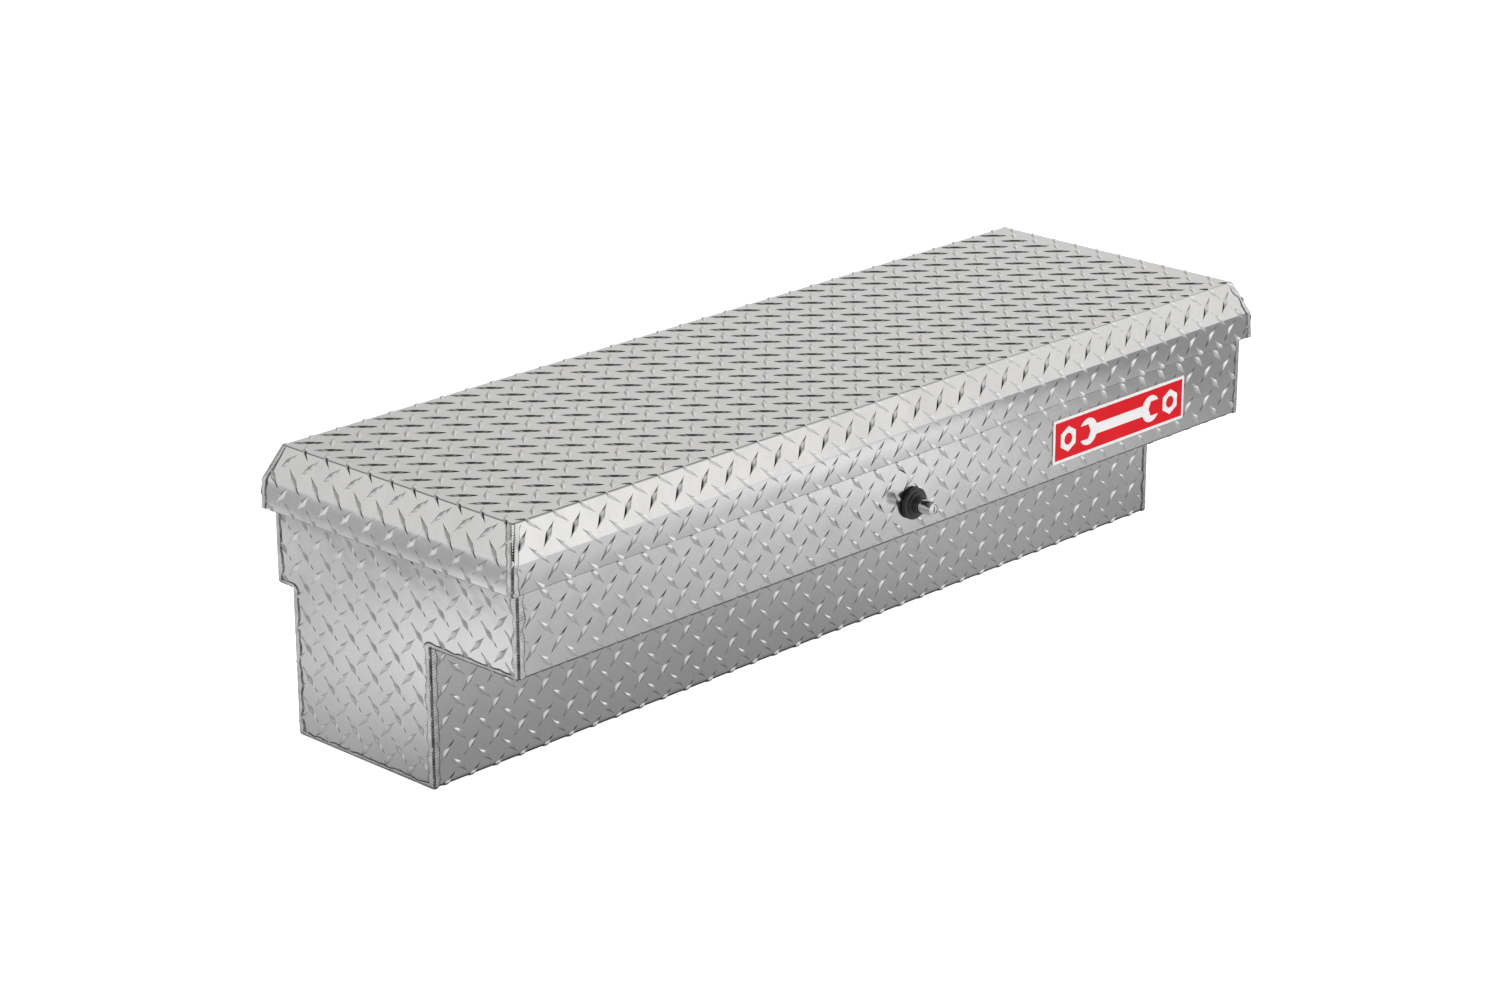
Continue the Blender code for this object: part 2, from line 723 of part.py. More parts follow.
def striker():
    """Plate under the front channel with a wire loop for the hook."""
    top = CHANNEL_FOOT - GAP
    plate = boxes(
        "striker",
        [((-STRIKER_HALF, STRIKER_Y[0], top - STRIKER_PLATE), (STRIKER_HALF, STRIKER_Y[1], top))],
        ZINC,
    )
    corner = 0.004
    path = [(-LOOP_HALF, top - 0.001)]
    path += [(-LOOP_HALF + corner * (1 - math.cos(a)), LOOP_Z + corner * (1 - math.sin(a)))
             for a in [math.pi / 2 * i / 4 for i in range(5)]]
    path += [(-x, z) for x, z in reversed(path)]
    loop = wire("striker_wire", [(x, LOOP_Y, z) for x, z in path], LOOP_RADIUS)
    join(plate, loop)
    cut(plate, bpy.data.objects["striker_rivet_holes"])
    grip = STRIKER_PLATE + GAP + CHANNEL_SHEET
    for i, side in enumerate((-1, 1), 1):
        place = (side * STRIKER_RIVET_X, sum(STRIKER_Y) / 2, top - STRIKER_PLATE)
        rivet(f"striker_rivet_{i}", place, (0, 0, -1), grip)


# ---------------------------------------------------------------- gas struts
EYE_RADIUS = 0.0075
EYE_HALF = 0.005
TUBE_RADIUS = 0.0075
STRUT_ROD_RADIUS = 0.003
STUD_RADIUS = 0.003


def strut(side, word):
    """Tube on a stud on the body, rod pinned to the lid; the open pivot is at the lid."""
    x = side * STRUT_X
    foot = Vector((x, HINGE_Y + STRUT_FOOT[0], HINGE_Z + STRUT_FOOT[1]))
    head = Vector((x, HINGE_Y + STRUT_HEAD[0], HINGE_Z + STRUT_HEAD[1]))
    along = (head - foot).normalized()
    length = (head - foot).length
    out = Vector((side, 0, 0))

    tube_end = foot + along * (length - 0.028)
    tube = rods(f"{word}_strut_tube", [(foot + along * 0.012, tube_end, TUBE_RADIUS, 20)], BLACK_METAL)
    eye = (foot - out * EYE_HALF, foot + out * EYE_HALF, EYE_RADIUS, 20)
    join(tube, rods(f"{word}_tube_eye", [eye]))
    neck = (foot + along * 0.004, foot + along * 0.014, 0.004, 16)
    join(tube, rods(f"{word}_tube_neck", [neck]))
    stud_hole = (foot - out * 0.02, foot + out * 0.02, STUD_RADIUS + GAP, 20)
    cut(tube, rods(f"{word}_stud_hole", [stud_hole]))
    bore = (tube_end - along * 0.112, tube_end + along * 0.01, STRUT_ROD_RADIUS + GAP, 16)
    cut(tube, rods(f"{word}_tube_bore", [bore]))

    rod_start = tube_end - along * 0.110
    shaft = (rod_start, head - along * 0.004, STRUT_ROD_RADIUS, 16)
    rod = rods(f"{word}_strut_rod", [shaft], STAINLESS)
    rod_eye = (head - out * EYE_HALF, head + out * EYE_HALF, EYE_RADIUS, 20)
    join(rod, rods(f"{word}_rod_eye", [rod_eye]))
    cap = (head - out * (EYE_HALF + 0.002), head - out * (EYE_HALF - 0.001), 0.0045, 16)
    join(rod, rods(f"{word}_rod_cap", [cap]))

    plate_out = side * (X_END - SHEET - GAP)
    plate_in = plate_out - side * 0.002
    lows, highs = sorted((plate_in, plate_out))
    bracket = boxes(
        f"{word}_strut_body_bracket",
        [((lows, foot.y - 0.018, foot.z - 0.014), (highs, foot.y + 0.018, foot.z + 0.014))],
        ZINC,
    )
    shoulder_x = x + side * (EYE_HALF + GAP)
    anchor = Vector((plate_in + side * 0.001, foot.y, foot.z))
    stem = (Vector((shoulder_x, foot.y, foot.z)), anchor, 0.006, 20)
    join(bracket, rods(f"{word}_stud_stem", [stem]))
    stud = (foot - out * (EYE_HALF + 0.003), anchor, STUD_RADIUS, 20)
    join(bracket, rods(f"{word}_stud", [stud]))

    web_in = x + side * (EYE_HALF + GAP)
    web_out = web_in + side * 0.002
    web = sorted((web_in, web_out))
    foot_plate = sorted((x - side * 0.008, web_out - side * 0.00002))
    lid_bracket = boxes(
        f"{word}_strut_lid_bracket",
        [((web[0], head.y - 0.011, head.z - 0.009), (web[1], head.y + 0.011, CHANNEL_TOP))],
        ZINC,
    )
    foot_low = (foot_plate[0], head.y - 0.01098, CHANNEL_TOP - 0.002)
    foot_high = (foot_plate[1], head.y + 0.01098, CHANNEL_TOP - 0.00002)
    join(lid_bracket, boxes(f"{word}_lid_bracket_foot", [(foot_low, foot_high)]))


# ---------------------------------------------------------------- build
def build():
    body_wrap()
    end_panel("left_end_panel", -1)
    end_panel("right_end_panel", 1)
    weather_seal()
    badge_plate()
    lid_skin()
    lid_channels()
    hinge()
    lock()
    latch_bracket()
    latch_hook()
    latch_spring()
    striker()
    strut(-1, "left")
    strut(1, "right")


build()
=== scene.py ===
"""Looks for the truck tool box: tread plate, welds, hinge, lock, badge, seal, struts, stage."""

import math
import random

import bmesh
import bpy
from mathutils import Matrix, Vector


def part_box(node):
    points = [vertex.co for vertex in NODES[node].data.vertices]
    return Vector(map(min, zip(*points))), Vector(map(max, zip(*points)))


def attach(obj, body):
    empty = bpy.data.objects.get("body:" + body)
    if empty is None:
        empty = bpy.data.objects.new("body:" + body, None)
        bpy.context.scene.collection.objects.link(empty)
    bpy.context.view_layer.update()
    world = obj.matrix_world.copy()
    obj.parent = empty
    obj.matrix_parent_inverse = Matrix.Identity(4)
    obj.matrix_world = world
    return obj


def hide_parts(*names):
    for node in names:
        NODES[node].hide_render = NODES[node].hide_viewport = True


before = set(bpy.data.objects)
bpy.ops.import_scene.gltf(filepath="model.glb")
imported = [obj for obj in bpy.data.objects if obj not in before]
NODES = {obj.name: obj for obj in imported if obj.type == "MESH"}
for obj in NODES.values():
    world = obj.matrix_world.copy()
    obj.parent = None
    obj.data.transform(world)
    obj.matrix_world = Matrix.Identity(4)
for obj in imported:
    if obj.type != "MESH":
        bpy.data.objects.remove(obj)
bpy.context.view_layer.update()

MM = 0.001
SHEET = 1.6 * MM
GAP = 0.3 * MM

LID_LOW, LID_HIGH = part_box("lid_skin")
WRAP_LOW, WRAP_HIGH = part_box("body_wrap")
PANEL_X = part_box("right_end_panel")[1].x
PIN_LOW, PIN_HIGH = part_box("hinge_pin")
HINGE_Y = (PIN_LOW.y + PIN_HIGH.y) / 2
HINGE_Z = (PIN_LOW.z + PIN_HIGH.z) / 2
LOCK_LOW, LOCK_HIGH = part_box("lock_housing")
LOCK_Z = (LOCK_LOW.z + LOCK_HIGH.z) / 2

# Lid: horizontal inset of the sloped band on each side, and the band's lower edge.
INSET_END, INSET_FRONT, INSET_BACK = 18.7 * MM, 17.7 * MM, 15.4 * MM
BAND_Z = LID_LOW.z + 32 * MM
TOP_Z = LID_HIGH.z
TOP_X = LID_HIGH.x - INSET_END
TOP_FRONT = LID_LOW.y + INSET_FRONT
TOP_BACK = LID_HIGH.y - INSET_BACK

# Body: outline of the folded sheet.
Y_FRONT, Y_BACK = WRAP_LOW.y, WRAP_HIGH.y
RIM_Z = WRAP_HIGH.z
RIM_FLANGE = 25 * MM
Y_LOW_FRONT = Y_FRONT + 135.2 * MM
Y_LOW_BACK = Y_BACK - 24.3 * MM
SHELF_Z = LID_LOW.z - 95.2 * MM
LEDGE_Z = LID_LOW.z - 86 * MM
WRAP_OUTLINE = [
    (Y_FRONT + RIM_FLANGE, RIM_Z),
    (Y_FRONT, RIM_Z),
    (Y_FRONT, SHELF_Z),
    (Y_LOW_FRONT, SHELF_Z),
    (Y_LOW_FRONT, 0),
    (Y_LOW_BACK, 0),
    (Y_LOW_BACK, LEDGE_Z),
    (Y_BACK, LEDGE_Z),
    (Y_BACK, RIM_Z),
    (Y_BACK - RIM_FLANGE, RIM_Z),
]


# Materials
class Nodes:
    """A material's node tree, with short calls for the nodes used here."""

    def __init__(self, tree):
        self.tree = tree
        tree.nodes.clear()

    def add(self, kind, inputs=None, **settings):
        node = self.tree.nodes.new(kind)
        for key, value in settings.items():
            setattr(node, key, value)
        for key, value in (inputs or {}).items():
            self.put(node.inputs[key], value)
        return node

    def put(self, socket, value):
        if isinstance(value, bpy.types.NodeSocket):
            self.tree.links.new(value, socket)
        else:
            socket.default_value = value

    def noise(self, scale, detail, roughness=0.5, stretch=None, offset=0.0):
        place = self.add("ShaderNodeTexCoord").outputs["Object"]
        if stretch or offset:
            place = self.add(
                "ShaderNodeMapping",
                {"Vector": place, "Scale": stretch or (1, 1, 1), "Location": (offset, offset, offset)},
            ).outputs["Vector"]
        inputs = {"Vector": place, "Scale": scale, "Detail": detail, "Roughness": roughness}
        return self.add("ShaderNodeTexNoise", inputs).outputs["Fac"]

    def ramp(self, value, low, high, out_low, out_high, **settings):
        inputs = {"Value": value, "From Min": low, "From Max": high, "To Min": out_low, "To Max": out_high}
        return self.add("ShaderNodeMapRange", inputs, **settings).outputs["Result"]

    def sum(self, first, second):
        return self.add("ShaderNodeMath", {0: first, 1: second}, operation="ADD").outputs[0]

    def at_least(self, value, least):
        return self.add("ShaderNodeMath", {0: value, 1: least}, operation="MAXIMUM").outputs[0]

    def mix(self, fac, first, second):
        node = self.add("ShaderNodeMix", data_type="RGBA")
        self.put(node.inputs[0], fac)
        self.put(node.inputs[6], first)
        self.put(node.inputs[7], second)
        return node.outputs[2]

    def bump(self, height, distance, below=None):
        inputs = {"Height": height, "Distance": distance, "Strength": 1.0}
        if below is not None:
            inputs["Normal"] = below
        return self.add("ShaderNodeBump", inputs).outputs["Normal"]


def finish(name, dark, light, rough, metallic, patches=30.0, bumps=(), grain=None, **extra):
    """A surface whose colour and roughness drift in patches, with layers of bump.

    rough is the lowest and highest roughness, and bumps are (scale, height in metres) pairs.
    """
    material = bpy.data.materials.new(name)
    material.use_nodes = True
    nodes = Nodes(material.node_tree)
    cloud = nodes.noise(patches, detail=5.0, roughness=0.6)
    fine = nodes.noise(patches * 14, detail=4.0, roughness=0.7, stretch=grain, offset=0.37)
    both = nodes.sum(cloud, fine)
    colour = nodes.mix(nodes.ramp(both, 0.75, 1.25, 0.0, 1.0), (*dark, 1), (*light, 1))
    roughness = nodes.ramp(both, 0.7, 1.3, *rough)
    normal = None
    for scale, height in bumps:
        normal = nodes.bump(nodes.noise(scale, detail=2.0, stretch=grain), height, normal)
    inputs = {"Base Color": colour, "Roughness": roughness, "Metallic": metallic, **extra}
    if normal is not None:
        inputs["Normal"] = normal
    shader = nodes.add("ShaderNodeBsdfPrincipled", inputs)
    out = nodes.add("ShaderNodeOutputMaterial")
    nodes.tree.links.new(shader.outputs[0], out.inputs["Surface"])
    return material


def grey(value):
    return value, value, value


METAL, PAINT = 1.0, 0.0  # the values of Metallic
BRUSHED, MILLED = (0.35, 6.0, 6.0), (1.0, 9.0, 9.0)  # how the grain is stretched

TREAD = finish(
    "tread_plate", grey(0.585), (0.625, 0.625, 0.622), (0.10, 0.16), METAL,
    patches=13.0, bumps=((9.0, 1.6 * MM), (24.0, 0.5 * MM), (240.0, 0.008 * MM)),
)
# Painted shade: a dark metal for the lid skirt's rounded lower edge and the wrap's two lower bends, where
# shade falls.
EDGE_SHADE = finish(
    "painted_edge_shade", grey(0.10), grey(0.26), (0.22, 0.38), METAL, patches=60.0, bumps=((500.0, 0.02 * MM),)
)
INSIDE = finish(
    "mill_sheet", (0.78, 0.78, 0.785), grey(0.86), (0.36, 0.48), METAL,
    patches=16.0, bumps=((900.0, 0.006 * MM), (18.0, 0.3 * MM)), grain=MILLED,
)
WELD = finish(
    "weld_metal", grey(0.36), (0.74, 0.74, 0.73), (0.12, 0.26), METAL,
    patches=90.0, bumps=((420.0, 0.06 * MM), (1600.0, 0.01 * MM)),
)
WELD_CORE = finish(
    "weld_core", grey(0.04), grey(0.30), (0.16, 0.34), METAL, patches=110.0, bumps=((500.0, 0.08 * MM),)
)
PLAIN = finish(
    "folded_channel", (0.50, 0.50, 0.505), grey(0.64), (0.28, 0.40), METAL,
    patches=20.0, bumps=((1100.0, 0.005 * MM),), grain=(1.0, 7.0, 7.0),
)
STAINLESS = finish(
    "brushed_stainless", (0.48, 0.475, 0.46), (0.62, 0.615, 0.60), (0.20, 0.32), METAL,
    patches=24.0, bumps=((1300.0, 0.006 * MM),), grain=BRUSHED,
)
ZINC = finish(
    "zinc_plated", (0.42, 0.44, 0.46), (0.64, 0.65, 0.66), (0.24, 0.42), METAL,
    patches=110.0, bumps=((900.0, 0.010 * MM),),
)
CHROME = finish(
    "chrome", (0.66, 0.66, 0.67), (0.76, 0.76, 0.77), (0.06, 0.14), METAL,
    patches=160.0, bumps=((1500.0, 0.002 * MM),),
)
BLACK = finish(
    "black_coating", (0.010, 0.010, 0.011), (0.022, 0.022, 0.024), (0.26, 0.42), PAINT,
    patches=120.0, bumps=((1800.0, 0.012 * MM),),
)
RUBBER = finish(
    "seal_foam", grey(0.012), grey(0.030), (0.62, 0.82), PAINT,
    patches=60.0, bumps=((2600.0, 0.05 * MM), (300.0, 0.05 * MM)),
)
RED = finish(
    "badge_enamel", (0.66, 0.006, 0.014), (0.72, 0.009, 0.018), (0.16, 0.24), PAINT,
    patches=45.0, bumps=((700.0, 0.004 * MM),), **{"Specular IOR Level": 0.12},
)
WHITE = finish(
    "badge_white", grey(0.80), (0.88, 0.88, 0.875), (0.26, 0.36), PAINT,
    patches=45.0, bumps=((700.0, 0.004 * MM),),
)


# Mesh helpers
SMOOTH_ANGLE = 21.0  # sheet metal is sharp above this many degrees


def rework(data, merge=None, step=None):
    """Joins vertices closer than merge, runs a bmesh step, and turns all faces outward."""
    work = bmesh.new()
    work.from_mesh(data)
    if merge:
        bmesh.ops.remove_doubles(work, verts=work.verts, dist=merge)
    if step:
        step(work)
    bmesh.ops.recalc_face_normals(work, faces=work.faces)
    work.to_mesh(data)
    work.free()


def shade(data, angle):
    data.shade_smooth()
    data.set_sharp_from_angle(angle=math.radians(angle))


def add_object(name, data):
    thing = bpy.data.objects.new(name, data)
    bpy.context.scene.collection.objects.link(thing)
    return thing


class Mesh:
    """Vertices, faces and a material number for each face, gathered before the object is made."""

    def __init__(self):
        self.verts, self.faces, self.kinds = [], [], []

    def add(self, verts, faces):
        start = len(self.verts)
        self.verts.extend(tuple(v) for v in verts)
        self.faces.extend(tuple(start + i for i in face) for face in faces)
        self.kinds.extend([0] * len(faces))

    def rings(self, rings, closed=False):
        """Joins rings of equal length; the ends are capped unless the rings close on themselves."""
        n, count = len(rings[0]), len(rings)
        verts = [v for ring in rings for v in ring]
        faces = []
        for i in range(count if closed else count - 1):
            a, b = i * n, (i + 1) % count * n
            faces += [(a + j, a + (j + 1) % n, b + (j + 1) % n, b + j) for j in range(n)]
        if not closed:
            faces += [tuple(range(n))[::-1], tuple((count - 1) * n + j for j in range(n))]
        self.add(verts, faces)

    def make(self, name, *materials, angle=SMOOTH_ANGLE):
        data = bpy.data.meshes.new(name)
        data.from_pydata(self.verts, [], self.faces)
        for material in materials:
            data.materials.append(material)
        data.polygons.foreach_set("material_index", self.kinds)
        rework(data)
        shade(data, angle)
        return add_object(name, data)


def settle(thing):
    """Applies an object's modifiers to its mesh."""
    view = bpy.context.evaluated_depsgraph_get()
    data = bpy.data.meshes.new_from_object(thing.evaluated_get(view))
    thing.modifiers.clear()
    thing.data = data


def cut(thing, cutter):
    modifier = thing.modifiers.new("cut", "BOOLEAN")
    modifier.operation, modifier.solver, modifier.object = "DIFFERENCE", "EXACT", cutter
    settle(thing)
    bpy.data.objects.remove(cutter)


def turned(profile, steps, origin, axis="Y", sign=-1):
    """Rings of a profile of (radius, height) pairs turned about an axis through origin."""
    rings = []
    for i in range(steps):
        a = 2 * math.pi * i / steps
        ring = []
        for radius, height in profile:
            u, v, w = radius * math.cos(a), radius * math.sin(a), sign * height
            place = {"X": (w, u, v), "Y": (u, w, v), "Z": (u, v, w)}[axis]
            ring.append(Vector(origin) + Vector(place))
        rings.append(ring)
    return rings


def lathe(name, profile, material, origin, axis="Y", sign=-1, steps=48, angle=35.0):
    """A solid turned from a closed profile of (radius, height) pairs."""
    mesh = Mesh()
    mesh.rings(turned(profile, steps, origin, axis, sign), closed=True)
    thing = mesh.make(name, material, angle=angle)
    rework(thing.data, 1e-6, lambda work: bmesh.ops.dissolve_degenerate(work, edges=work.edges, dist=1e-7))
    shade(thing.data, angle)
    return thing


def place(thing, body, slot, *nodes):
    """Puts a finished piece on its body and hides the CAD nodes it stands for; slot is not used."""
    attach(thing, body)
    if nodes:
        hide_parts(*nodes)


# Folded sheet
class FoldedPath:
    """A line in a plane with rounded corners, measured along the outer face of a folded sheet.

    side is +1 where the outer face is on the left of the line, and -1 where it is on the right.
    """

    def __init__(self, points, side, convex=3.0 * MM, concave=1.5 * MM):
        self.side, self.pieces, start = side, [], 0.0
        points = [Vector(p) for p in points]
        here = points[0]
        for i in range(1, len(points)):
            ahead = (points[i] - points[i - 1]).normalized()
            trim = 0.0
            if i < len(points) - 1:
                after = (points[i + 1] - points[i]).normalized()
                turn = math.atan2(ahead.cross(after), ahead.dot(after))
                radius = concave if turn * side > 0 else convex
                trim = radius * math.tan(abs(turn) / 2)
            length = (points[i] - here).length - trim
            self.pieces.append((start, length, here, ahead, 0.0))
            start += length
            if trim:
                here = points[i] - ahead * trim
                self.pieces.append((start, radius * abs(turn), here, ahead, math.copysign(1 / radius, turn)))
                start += radius * abs(turn)
                here = points[i] + after * trim
        self.length = start

    def at(self, s):
        """Point and outward normal at a distance along the sheet; straight on past both ends."""
        piece = self.pieces[0]
        for other in self.pieces[1:]:
            if s < other[0]:
                break
            piece = other
        start, _, point, ahead, bend = piece
        t = s - start
        left = Vector((-ahead.y, ahead.x))
        if bend:
            a = t * bend
            point = point + (ahead * math.sin(a) + left * (1 - math.cos(a))) / bend
            ahead = ahead * math.cos(a) + left * math.sin(a)
        else:
            point = point + ahead * t
        return point, Vector((-ahead.y, ahead.x)) * self.side

    def stations(self):
        """Distances at which the sheet needs a row of vertices: over each bend, and close beside it."""
        support, arc_steps = 0.8 * MM, 5
        rows = {0.0, self.length}
        for start, length, _, _, bend in self.pieces:
            if bend:
                rows.update(start + length * i / arc_steps for i in range(arc_steps + 1))
                rows.update((start - support, start + length + support))
        return sorted(r for r in rows if 0 <= r <= self.length)


# Raised lugs
LUG_LENGTH = 35.0 * MM
LUG_HEIGHT = 1.35 * MM
LUG_SINK = 0.15 * MM  # how deep its underside lies in the sheet
# A lug is a thin blade with a wider waist; along it, distances run from -1 at one tip to 1 at the other.
BLADE_HALF, WAIST_HALF, WAIST_REACH = 1.1 * MM, 3.1 * MM, 0.85
STATIONS = (-0.90, -0.62, -0.36, -0.16, 0.0, 0.16, 0.36, 0.62, 0.90)
ACROSS = ((-1.0, None), (-0.45, 0.62), (0.0, 1.0), (0.45, 0.62), (1.0, None))  # share of width, of height
LEAST_SLIVER = 0.5 * MM  # a lug of which less than this is left is not drawn


def lug_template():
    """One lug in its own frame (along, across, height), with pointed ends and a flat underside."""
    verts, faces = [(-LUG_LENGTH / 2, 0, -LUG_SINK)], []
    n = len(ACROSS)
    for t in STATIONS:
        half = BLADE_HALF * (1 - t**2) + WAIST_HALF * max(0, 1 - abs(t) / WAIST_REACH) ** 1.5
        top = LUG_HEIGHT * (1 - abs(t) ** 2.5) ** 0.8
        for q, h in ACROSS:
            verts.append((t * LUG_LENGTH / 2, q * half, -LUG_SINK if h is None else h * top))
    verts.append((LUG_LENGTH / 2, 0, -LUG_SINK))
    last = len(verts) - 1
    for j in range(n - 1):
        faces.append((0, 1 + j + 1, 1 + j))
        for i in range(len(STATIONS) - 1):
            a, b = 1 + i * n + j, 1 + (i + 1) * n + j
            faces.append((a, a + 1, b + 1, b))
        a = 1 + (len(STATIONS) - 1) * n + j
        faces.append((a, a + 1, last))
    lower = [1 + i * n for i in range(len(STATIONS))]
    upper = [1 + i * n + n - 1 for i in range(len(STATIONS))]
    faces.append((0, *lower, last, *upper[::-1]))
    return verts, faces


LUG_VERTS, LUG_FACES = lug_template()


def clipped(verts, faces, limits):
    """A lug cut back to the limits it crosses, each ((u, s), (nu, ns)) with the normal outward."""
    crossed = []
    for (u0, s0), (nu, ns) in limits:
        sides = [(u - u0) * nu + (s - s0) * ns for u, s, _ in verts]
        if min(sides) > -LEAST_SLIVER:
            return None
        if max(sides) > 0:
            crossed.append(((u0, s0, 0), (nu, ns, 0)))
    if not crossed:
        return verts, faces
    work = bmesh.new()
    points = [work.verts.new(v) for v in verts]
    for face in faces:
        work.faces.new([points[i] for i in face])
    for point, normal in crossed:
        bmesh.ops.bisect_plane(
            work,
            geom=work.verts[:] + work.edges[:] + work.faces[:],
            dist=1e-6,
            plane_co=point,
            plane_no=normal,
            clear_outer=True,
        )
        rim = [e for e in work.edges if e.is_boundary]
        if rim:
            bmesh.ops.holes_fill(work, edges=rim, sides=0)
    work.verts.index_update()
    result = [tuple(v.co) for v in work.verts], [tuple(v.index for v in f.verts) for f in work.faces]
    work.free()
    return result if result[1] else None


def add_lug(mesh, centre, angle, mapper, limits=()):
    """Adds one lug at a flat (u, s) place, turned by angle, and bends it on to the sheet."""
    c, s = math.cos(angle), math.sin(angle)
    flat = [(centre[0] + a * c - b * s, centre[1] + a * s + b * c, h) for a, b, h in LUG_VERTS]
    shape = clipped(flat, LUG_FACES, limits)
    if shape:
        mesh.add([mapper(*v) for v in shape[0]], shape[1])


def lattice(u0, s0, u_pitch, s_pitch, u_range, s_range):
    """Places of a two-way lug pattern: (u, s, which) with the second set half a pitch away."""
    for which in (0, 1):
        first_i = math.ceil((u_range[0] - u0) / u_pitch - which / 2)
        first_j = math.ceil((s_range[0] - s0) / s_pitch - which / 2)
        i = first_i
        while u0 + (i + which / 2) * u_pitch <= u_range[1]:
            j = first_j
            while s0 + (j + which / 2) * s_pitch <= s_range[1]:
                yield u0 + (i + which / 2) * u_pitch, s0 + (j + which / 2) * s_pitch, which
                j += 1
            i += 1


DOWN_RIGHT, UP_RIGHT = -math.pi / 4, math.pi / 4
REACH = LUG_LENGTH / 2


# Lid
LEAN, LEAN_END = 1.2 * MM, 2.0 * MM  # how far the skirt's top stands in from its lower edge
BEND_START = 0.1  # the lid's paths start this far in from the top's edge
LID_PITCH = 37.24 * MM, 34.6 * MM
LID_FIRST = -TOP_X + 22.1 * MM, TOP_FRONT - 3.4 * MM
PATTERN_REACH = 0.09  # how far the top's pattern is carried on over each side
RIVET_CLEARANCE = 13 * MM
EDGE_ANGLES = [math.radians(a) for a in (30, 60, 90, 120, 150)]  # steps round the skirt's lower edge


def side_path(inset, lean):
    """One side of the lid: on the top, over the band and down the skirt, as (distance out, z)."""
    points = [(-BEND_START, TOP_Z), (0, TOP_Z), (inset - lean, BAND_Z), (inset, LID_LOW.z)]
    return FoldedPath(points, 1, convex=2.6 * MM)


def lid():
    """The folded lid: rings of four corners, from the top's outside round the lower edge to the inside."""
    paths = {
        "front": side_path(INSET_FRONT, LEAN),
        "back": side_path(INSET_BACK, 0),
        "end": side_path(INSET_END, LEAN_END),
    }
    half = SHEET / 2
    rows = {name: [s for s in path.stations() if s > 0.05] for name, path in paths.items()}
    for name, path in paths.items():
        rows[name][-1] = path.length - half

    def ring(k, depth, drop=0.0):
        reach = {}
        for name, path in paths.items():
            point, normal = path.at(rows[name][k] + drop)
            point = point - normal * depth
            reach[name] = point.x
            z = point.y
        x = TOP_X + reach["end"]
        front, back = TOP_FRONT - reach["front"], TOP_BACK + reach["back"]
        return [(x, back, z), (-x, back, z), (-x, front, z), (x, front, z)]

    mesh = Mesh()
    count = len(rows["end"])
    rings = [ring(k, 0.0) for k in range(count)]
    rings += [ring(count - 1, half * (1 - math.cos(a)), half * math.sin(a)) for a in EDGE_ANGLES]
    rings += [ring(k, SHEET) for k in range(count)][::-1]
    faces = [(0, 1, 2, 3), tuple(4 * (len(rings) - 1) + j for j in range(4))]
    for i in range(len(rings) - 1):
        a, b = 4 * i, 4 * (i + 1)
        faces += [(a + j, a + (j + 1) % 4, b + (j + 1) % 4, b + j) for j in range(4)]
    mesh.add([v for ring in rings for v in ring], faces)
    # the round of the skirt's lower edge gets the dark metal of painted shade, the inside gets the mill sheet
    for number, face in enumerate(mesh.faces):
        if min(face) >= 4 * (count - 1):
            mesh.kinds[number] = 1 if min(face) >= 4 * (count - 1 + len(EDGE_ANGLES)) else 2
    band = math.hypot(INSET_FRONT, TOP_Z - BAND_Z)

    def mapper(side):
        path = paths["end" if side in ("left", "right") else side]

        def place_at(u, s, h):
            point, normal = path.at(s + BEND_START)
            out, z = point + normal * h
            if side == "front":
                return u, TOP_FRONT - out, z
            if side == "back":
                return u, TOP_BACK + out, z
            return (TOP_X + out if side == "right" else -TOP_X - out), u, z

        return place_at

    def limits(side):
        """Skirt edge and the two mitres of a side, in its own flat (u, s)."""
        end = paths["end" if side in ("left", "right") else side].length - BEND_START
        if side in ("left", "right"):
            edges = ((TOP_BACK, INSET_BACK, 1), (TOP_FRONT, INSET_FRONT, -1))
        else:
            edges = ((TOP_X, INSET_END, 1), (-TOP_X, INSET_END, -1))
        result = [((0, end), (0, 1))]
        for edge, inset, way in edges:
            slope = Vector((way * band, -inset)).normalized()
            result += [((edge, 0), tuple(slope)), ((edge + way * inset, 0), (way, 0))]
        return result

    maps = {side: mapper(side) for side in ("front", "back", "left", "right")}
    bounds = {side: limits(side) for side in maps}
    rivets = [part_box(f"lid_hinge_rivet_{i}") for i in range(1, 7)]
    out = PATTERN_REACH
    for x, y, which in lattice(
        *LID_FIRST, *LID_PITCH, (-TOP_X - out, TOP_X + out), (TOP_FRONT - out, TOP_BACK + out)
    ):
        beyond = {"front": TOP_FRONT - y, "back": y - TOP_BACK, "left": -TOP_X - x, "right": x - TOP_X}
        side = max(beyond, key=beyond.get)
        s = beyond[side]
        angle = UP_RIGHT if which else DOWN_RIGHT
        if s < -REACH:
            add_lug(mesh, (x, y), angle, lambda u, v, h: (u, v, TOP_Z + h))
            continue
        if side == "back" and s > band:
            if any(abs((low.x + high.x) / 2 - x) < RIVET_CLEARANCE for low, high in rivets):
                continue
        centre = (y if side in ("left", "right") else x, s)
        turn = {
            "front": -angle,
            "back": angle,
            "left": -(math.pi / 2 - angle) + math.pi,
            "right": angle - math.pi / 2,
        }[side]
        add_lug(mesh, centre, turn, maps[side], bounds[side])
    thing = mesh.make("lid_tread_plate", TREAD, INSIDE, EDGE_SHADE)
    place(thing, "lid", "tread_aluminium", "lid_skin")


# Body
WRAP_PATH = FoldedPath(WRAP_OUTLINE, -1)
WRAP_HALF = WRAP_HIGH.x
BODY_PITCH = 35.8 * MM, 36.4 * MM
BODY_FIRST_X, BODY_FIRST_BELOW = -0.5760, 28.4 * MM  # one lug, below the lid's lower edge
SHELF_SLIP = 3.2 * MM, 4.3 * MM  # how far the pattern has slipped once it is past the shelf
HOLE_RADIUS, HOLE_DEPTH = 11.3 * MM, 20 * MM
LOCK_CLEARANCE, BADGE_MARGIN = 16 * MM, 12 * MM


